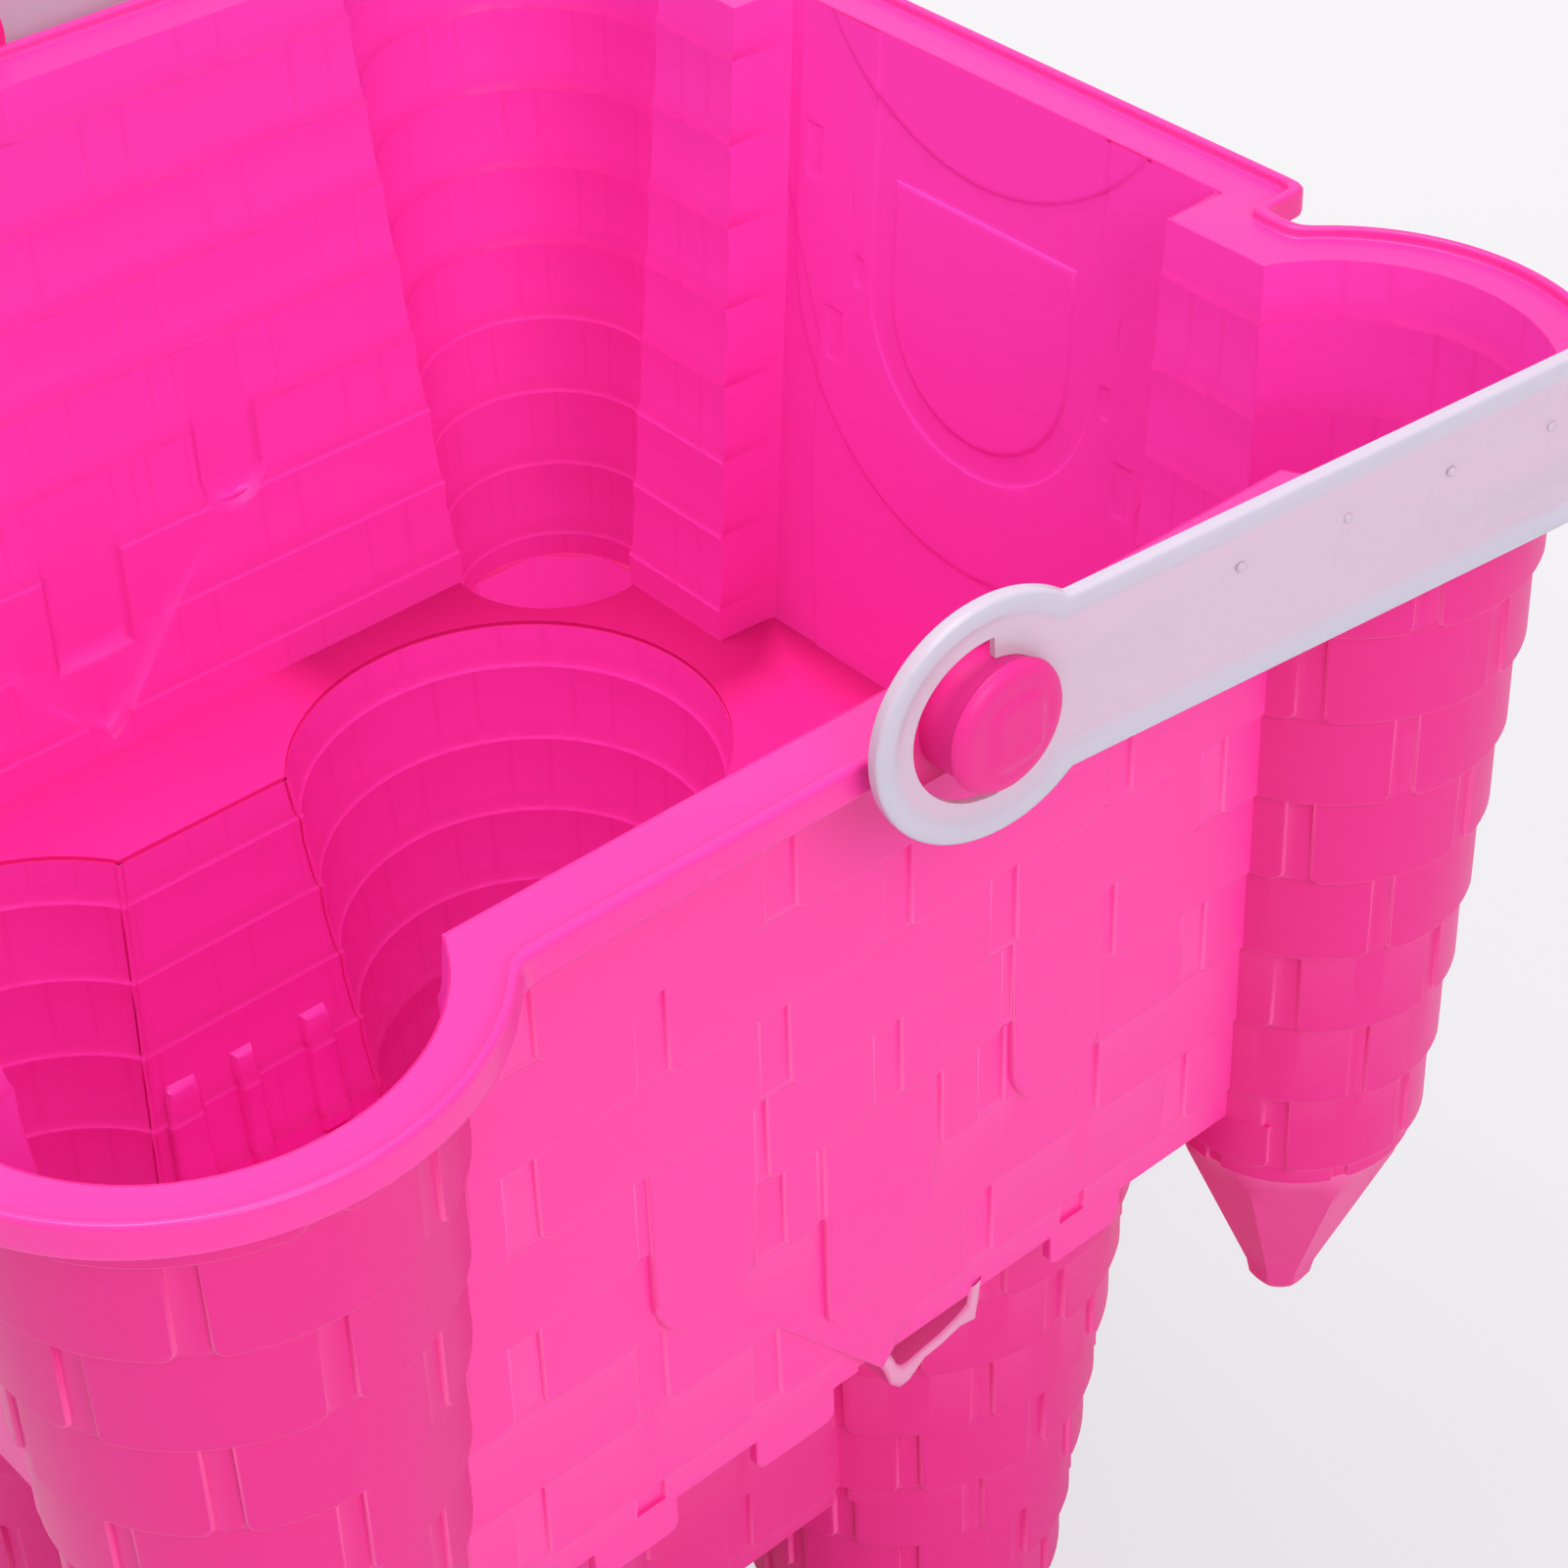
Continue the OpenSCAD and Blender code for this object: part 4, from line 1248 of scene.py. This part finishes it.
def from_hole(u, w):
    near = np.minimum(u, STRAP - u)
    step = np.where(np.abs(w) < EYE_WIDE, near - EYE_STEP, FAR)
    wide = np.where(near < EYE_STEP, np.hypot(near, w) - EYE_WIDE, step)
    return np.minimum(wide, np.hypot(near, w) - EYE_NARROW)


def strap_line(inset):
    r, half, wide = EYE_R - inset, HALF_WIDE - inset, HALF_WIDE + WIDENS - inset
    start = math.acos(math.sqrt(r * r - half * half) / r)
    arc = [start + (2 * math.pi - 2 * start) * i / 72 for i in range(73)]
    left = [(r * math.cos(t), r * math.sin(t)) for t in arc]
    right = [(STRAP - x, -y) for x, y in left]
    return left + [(ARM, -wide), (STRAP - ARM, -wide)] + right + [(STRAP - ARM, wide), (ARM, wide), left[0]]


def keyhole_line(inset):
    wide, narrow, step = EYE_WIDE + inset, EYE_NARROW + inset, EYE_STEP + inset
    a, b = math.acos(step / wide), math.acos(step / narrow)
    line = [(wide * math.cos(t), wide * math.sin(t)) for t in np.linspace(a, 2 * math.pi - a, 49)]
    line += [(narrow * math.cos(t), narrow * math.sin(t)) for t in np.linspace(-b, b, 25)]
    return line + line[:1]


def mark_line(at, across, r):
    ring = [(at + x, across + y) for x, y in circle_line(0, 0, r, 32)]
    return ring + ring[:1]


print("eyes", 2 * EYE_R, "mm across, keyholes", 2 * EYE_WIDE, "and", 2 * EYE_NARROW)


# %% [markdown]
# The flat drawing becomes two faces, one on each side of the middle line. The round marks of the
# ejector pins are pressed into the outer one as shallow dishes.

# %% Handle
def handle():
    near_end = [keyhole_line(i) for i in HOLE_AT]
    near_end += [mark_line(at, across, r - inset) for at, across, r in MARKS for inset in MARK_AT]
    far_end = [[(STRAP - x, y) for x, y in line] for line in near_end]
    lines = [strap_line(i) for i in BEAD_AT] + near_end + far_end
    grid = [ARM + BEND * i / 36 for i in range(37)]
    grid += [STRAP - g for g in grid] + list(np.arange(14, ARM, 9)) + list(STRAP - np.arange(14, ARM, 9))
    grid += list(np.linspace(ARM + BEND, STRAP - ARM - BEND, 20)[1:-1])
    uv, faces = cut_sheet((-13.5, STRAP + 13.5), (-13.5, 13.5), lines, grid)
    u, w = uv.T
    middles = np.array([uv[list(f)].mean(axis=0) for f in faces])
    solid = (from_edge(*middles.T) > 0) & (from_hole(*middles.T) > 0)
    faces = [f for f, keep in zip(faces, solid) if keep]
    half = np.minimum(np.interp(from_edge(u, w), BEAD_AT, BEAD_TO),
                      np.interp(from_hole(u, w), HOLE_AT, HOLE_TO))
    near = np.minimum(u, STRAP - u)
    dish = sum(MARK_DEEP * np.interp(r - np.hypot(near - at, w - across), MARK_AT, MARK_TO)
               for at, across, r in MARKS)
    x, y, nx, ny = along(u)
    front = np.stack([x + nx * (half - dish), y + ny * (half - dish), w], axis=1)
    back = np.stack([x - nx * half, y - ny * half, w], axis=1)
    n = len(uv)
    walls = [(b, a, a + n, b + n) for a, b in open_sides(faces)]
    # The bead's mask: painted light along the rounded bead, in the milky plastic's edge colour.
    bead = np.tile(np.clip((half - BEAD_TO[-1]) / 0.42, 0, 1), 2)
    faces, points, bead = compact(faces + shifted([f[::-1] for f in faces], n) + walls,
                                  np.vstack([tilted(front), tilted(back)]), bead)
    finish_mesh("handle_strap", (points, faces), milky, "handle", "handle", edge=bead)


handle()

# %% [markdown]
# Small pips stand in a row on each arm, beside the round marks that the ejector pins left. They
# repeat, so the row tree lays them out.

# %% Handle pips
PIP_AT, PIP_PITCH, PIP_SIDES = 28.5, 13.1, 10


def pip_form(outward):
    across, up = Vector((0, 0, 1)), Vector(outward)
    arm, n = across.cross(up), PIP_SIDES
    points = []
    for level, r in ((-0.1, 0.55), (0.06, 0.5), (0.16, 0.32)):
        for t in [2 * math.pi * i / n for i in range(n)]:
            points.append(tuple((arm * r * math.cos(t) + across * r * math.sin(t) + up * level) * MM))
    points.append(tuple(up * 0.2 * MM))
    faces = ring_faces(0, n, n) + ring_faces(n, 2 * n, n)
    faces += [(2 * n + i, 2 * n + (i + 1) % n, 3 * n) for i in range(n)] + [tuple(range(n - 1, -1, -1))]
    return points, faces


def pips():
    parts, c, s = [], math.cos(SPLAY), math.sin(SPLAY)
    for side in (1, -1):
        nx, ny = -s, -c * side
        start = tilted([(PIP_AT * c + nx * 0.5, -side * (ARM_Y + PIP_AT * s) + ny * 0.5, 3.6)])
        pitch = tilted([(PIP_PITCH * c, -side * PIP_PITCH * s, -0.3)]) - tilted([(0, 0, 0)])
        parts.append(repeated("pip", *pip_form((nx, ny, 0)), ROW, {
            "Count": 4, "Start": tuple(start[0]), "Pitch": tuple(pitch[0]), "Material": milky}))
    finish_mesh("handle_pips", join_parts(parts)[:2], milky, "handle", merge=2e-7)


pips()

# %% [markdown]
# Each peg is moulded with the rim: an ear on the lip, a round shaft, and a head that the eye is
# snapped over. The head carries a raised, rounded pad whose middle sank a little as it cooled. A
# lathe could turn the head but not the pad, so the last rings of points take their height from it.

# %% Pegs
PEG_R, HEAD_R, EAR_R, EAR_T = 6.3, 6.7, 9.0, 1.3
RIM_Y, HEAD_Y, PAD_UP = 87.9, 93.525, 1.28
PEG_RINGS = ((EAR_R * 0.5, RIM_Y - 0.6), (PEG_R, RIM_Y - 0.6), (PEG_R, HEAD_Y), (HEAD_R - 0.25, HEAD_Y),
             (HEAD_R, HEAD_Y + 0.2), (HEAD_R - 0.1, HEAD_Y + 0.5), (6.35, HEAD_Y + 0.8), (6.0, HEAD_Y + 1.05),
             (5.6, HEAD_Y + 1.2))
PAD_RINGS = (5.2, 4.9, 4.6, 4.3, 4.0, 3.7, 3.4, 3.0, 2.4, 1.6, 0.8)
EAR_RINGS = ((RIM_Y - 0.3, 0), (RIM_Y + EAR_T - 0.35, 0), (RIM_Y + EAR_T - 0.1, 0.1), (RIM_Y + EAR_T, 0.4))
EAR_FOOT = -(HINGE_Z - LIP_Z) - 5.0
PAD_X, PAD_Z, PAD_WIDE, PAD_HIGH, PAD_ROUND = 0.4, -0.3, 1.2, 1.5, 2.4


def pad_height(x, z):
    x, z = x - PAD_X, z - PAD_Z
    qx, qz = np.abs(x) - PAD_WIDE, np.abs(z) - PAD_HIGH
    inside = PAD_ROUND - (np.hypot(np.maximum(qx, 0), np.maximum(qz, 0)) + np.minimum(np.maximum(qx, qz), 0))
    sunk = 0.16 * np.clip(1 - np.hypot(x, z) / 3.2, 0, 1)
    return 0.4 * np.interp(inside, (0, 0.3, 0.8, 1.1), (0, 0.25, 0.85, 1)) - sunk


def skinned(points, count, base=0):
    """Closed rings of count points from base on, skinned and closed at both ends."""
    last = len(points) - count
    faces = [f for a in range(base, last, count) for f in ring_faces(a, a + count, count)]
    return faces + [tuple(range(base, base + count)), tuple(range(last, last + count))]


def peg(name, turn):
    count = 72
    turns = np.arange(count) * 2 * math.pi / count
    rings = []
    for r, y in PEG_RINGS:
        rings.append(np.stack([r * np.cos(turns), np.full(count, y), r * np.sin(turns)], axis=1))
    for r in PAD_RINGS:
        x, z = r * np.cos(turns), r * np.sin(turns)
        rings.append(np.stack([x, HEAD_Y + PAD_UP + pad_height(x, z), z], axis=1))
    points = list(np.vstack(rings))
    faces, base = skinned(points, count), len(points)
    cut = math.asin(-EAR_FOOT / EAR_R)
    arc = [-cut + (math.pi + 2 * cut) * i / 48 for i in range(49)]
    for y, inset in EAR_RINGS:
        r = EAR_R - inset
        points += [(r * math.cos(t), y, max(r * math.sin(t), EAR_FOOT)) for t in arc]
    x, y, z = np.array(points).T
    world = turned(np.stack([x, -y, z + HINGE_Z], axis=1) * MM, turn)
    faces += skinned(points, len(arc), base)
    # The pegs take the darker pink: painted shade.
    finish_mesh(name + "_moulded", (world, faces), pink_shaded, "bucket", name, sharp=40)


peg("front_peg", 0)
peg("back_peg", 180)

# %% [markdown]
# The room is plain and bright. A strong white world would wash the colours out, so the world lights
# the plastic weakly, and a second background is seen only by the camera, in reflections and
# through the milky plastic. Light Path tells the two apart.

# %% World
world = bpy.data.worlds.new("studio")
scene.world = world
world.use_nodes = True
sky = world.node_tree
lit = sky.nodes["Background"]
dial(lit, Color=(0.97, 0.975, 1, 1), Strength=0.50)
seen = add(sky, "ShaderNodeBackground", Color=(0.905, 0.902, 0.915, 1), Strength=1.0)
rays = add(sky, "ShaderNodeLightPath").outputs
any_seen = add(sky, "ShaderNodeMath", [(0, rays["Is Camera Ray"]), (1, rays["Is Glossy Ray"])],
               operation="MAXIMUM")
all_seen = add(sky, "ShaderNodeMath", [(0, any_seen.outputs[0]), (1, rays["Is Transmission Ray"])],
               operation="MAXIMUM")
choose = add(sky, "ShaderNodeMixShader", [(0, all_seen.outputs[0]), (1, lit.outputs[0]),
                                          (2, seen.outputs[0])])
sky.links.new(choose.outputs[0], sky.nodes["World Output"].inputs["Surface"])
print("world", world.name)


# %% [markdown]
# Three soft round lamps do the lighting: a key from the front, one above the mouth so that the
# inside isn't black, and a weak fill from the left. Small lamps would draw hard shadows of the rim.

# %% Lamps
def soft_lamp(name, spot, aim, size, watts):
    data = bpy.data.lights.new(name, "AREA")
    data.shape = "DISK"
    data.size = size
    data.energy = watts
    lamp = new_object(name, data)
    lamp.location = spot
    lamp.rotation_euler = (Vector(aim) - Vector(spot)).to_track_quat("-Z", "Y").to_euler()
    print("lamp", name, watts, "W")


soft_lamp("key", (-0.15, -0.95, 0.80), (0, 0, 0.12), 0.7, 5.8)
soft_lamp("top", (-0.1, 0.1, 1.25), (0, 0, 0.1), 0.7, 8.6)
soft_lamp("fill", (-0.9, 0.1, 0.5), (0, 0, 0.1), 0.6, 0.5)

# %% [markdown]
# The floor is matt and pale, and keeps the shadow under the mould. Only for the camera it glows a
# little as well, lighter towards the back, so that it runs out into the white backdrop without more
# light falling on the plastic.

# %% Floor
FLOOR_HALF, FLOOR_Z = 2, -0.0005
floor_mesh = bpy.data.meshes.new("studio_floor")
floor_mesh.from_pydata([(x, y, FLOOR_Z) for x, y in square(FLOOR_HALF)], [], [(0, 1, 2, 3)])
studio_floor = new_object("studio_floor", floor_mesh)
floor_paint = bpy.data.materials.new("pale_floor")
floor_paint.use_nodes = True
paint = floor_paint.node_tree
matt = paint.nodes["Principled BSDF"]
dial(matt, Base_Color=(0.80, 0.80, 0.815, 1), Roughness=0.6)
spot = add(paint, "ShaderNodeSeparateXYZ", [(0, paint.nodes.new("ShaderNodeTexCoord").outputs["Object"])])
away = add(paint, "ShaderNodeMath", [(0, spot.outputs["X"]), (1, spot.outputs["Y"])], operation="ADD")
fade = add(paint, "ShaderNodeMapRange", [("Value", away.outputs[0])], interpolation_type="SMOOTHSTEP",
           From_Min=0.0, From_Max=0.9)
tone = add(paint, "ShaderNodeMix", [("Factor", fade.outputs["Result"])], data_type="RGBA")
tone.inputs[6].default_value = (0.86, 0.85, 0.89, 1)
tone.inputs[7].default_value = (0.985, 0.965, 0.985, 1)
glow = add(paint, "ShaderNodeEmission", [("Color", tone.outputs[2])])
look = add(paint, "ShaderNodeLightPath").outputs["Is Camera Ray"]
seen_share = add(paint, "ShaderNodeMath", [(0, look)], operation="MULTIPLY")
seen_share.inputs[1].default_value = 0.78
blend = add(paint, "ShaderNodeMixShader", [(0, seen_share.outputs[0]), (1, matt.outputs[0]),
                                           (2, glow.outputs[0])])
paint.links.new(blend.outputs[0], paint.nodes["Material Output"].inputs["Surface"])
floor_mesh.materials.append(floor_paint)
print("floor", floor_paint.name)

# %% [markdown]
# Last, the CAD nodes get the pink or the milky plastic.

# %% CAD plastics
for node_name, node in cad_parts.items():
    node.data.materials.clear()
    node.data.materials.append(milky if node_name == "handle" else pink)
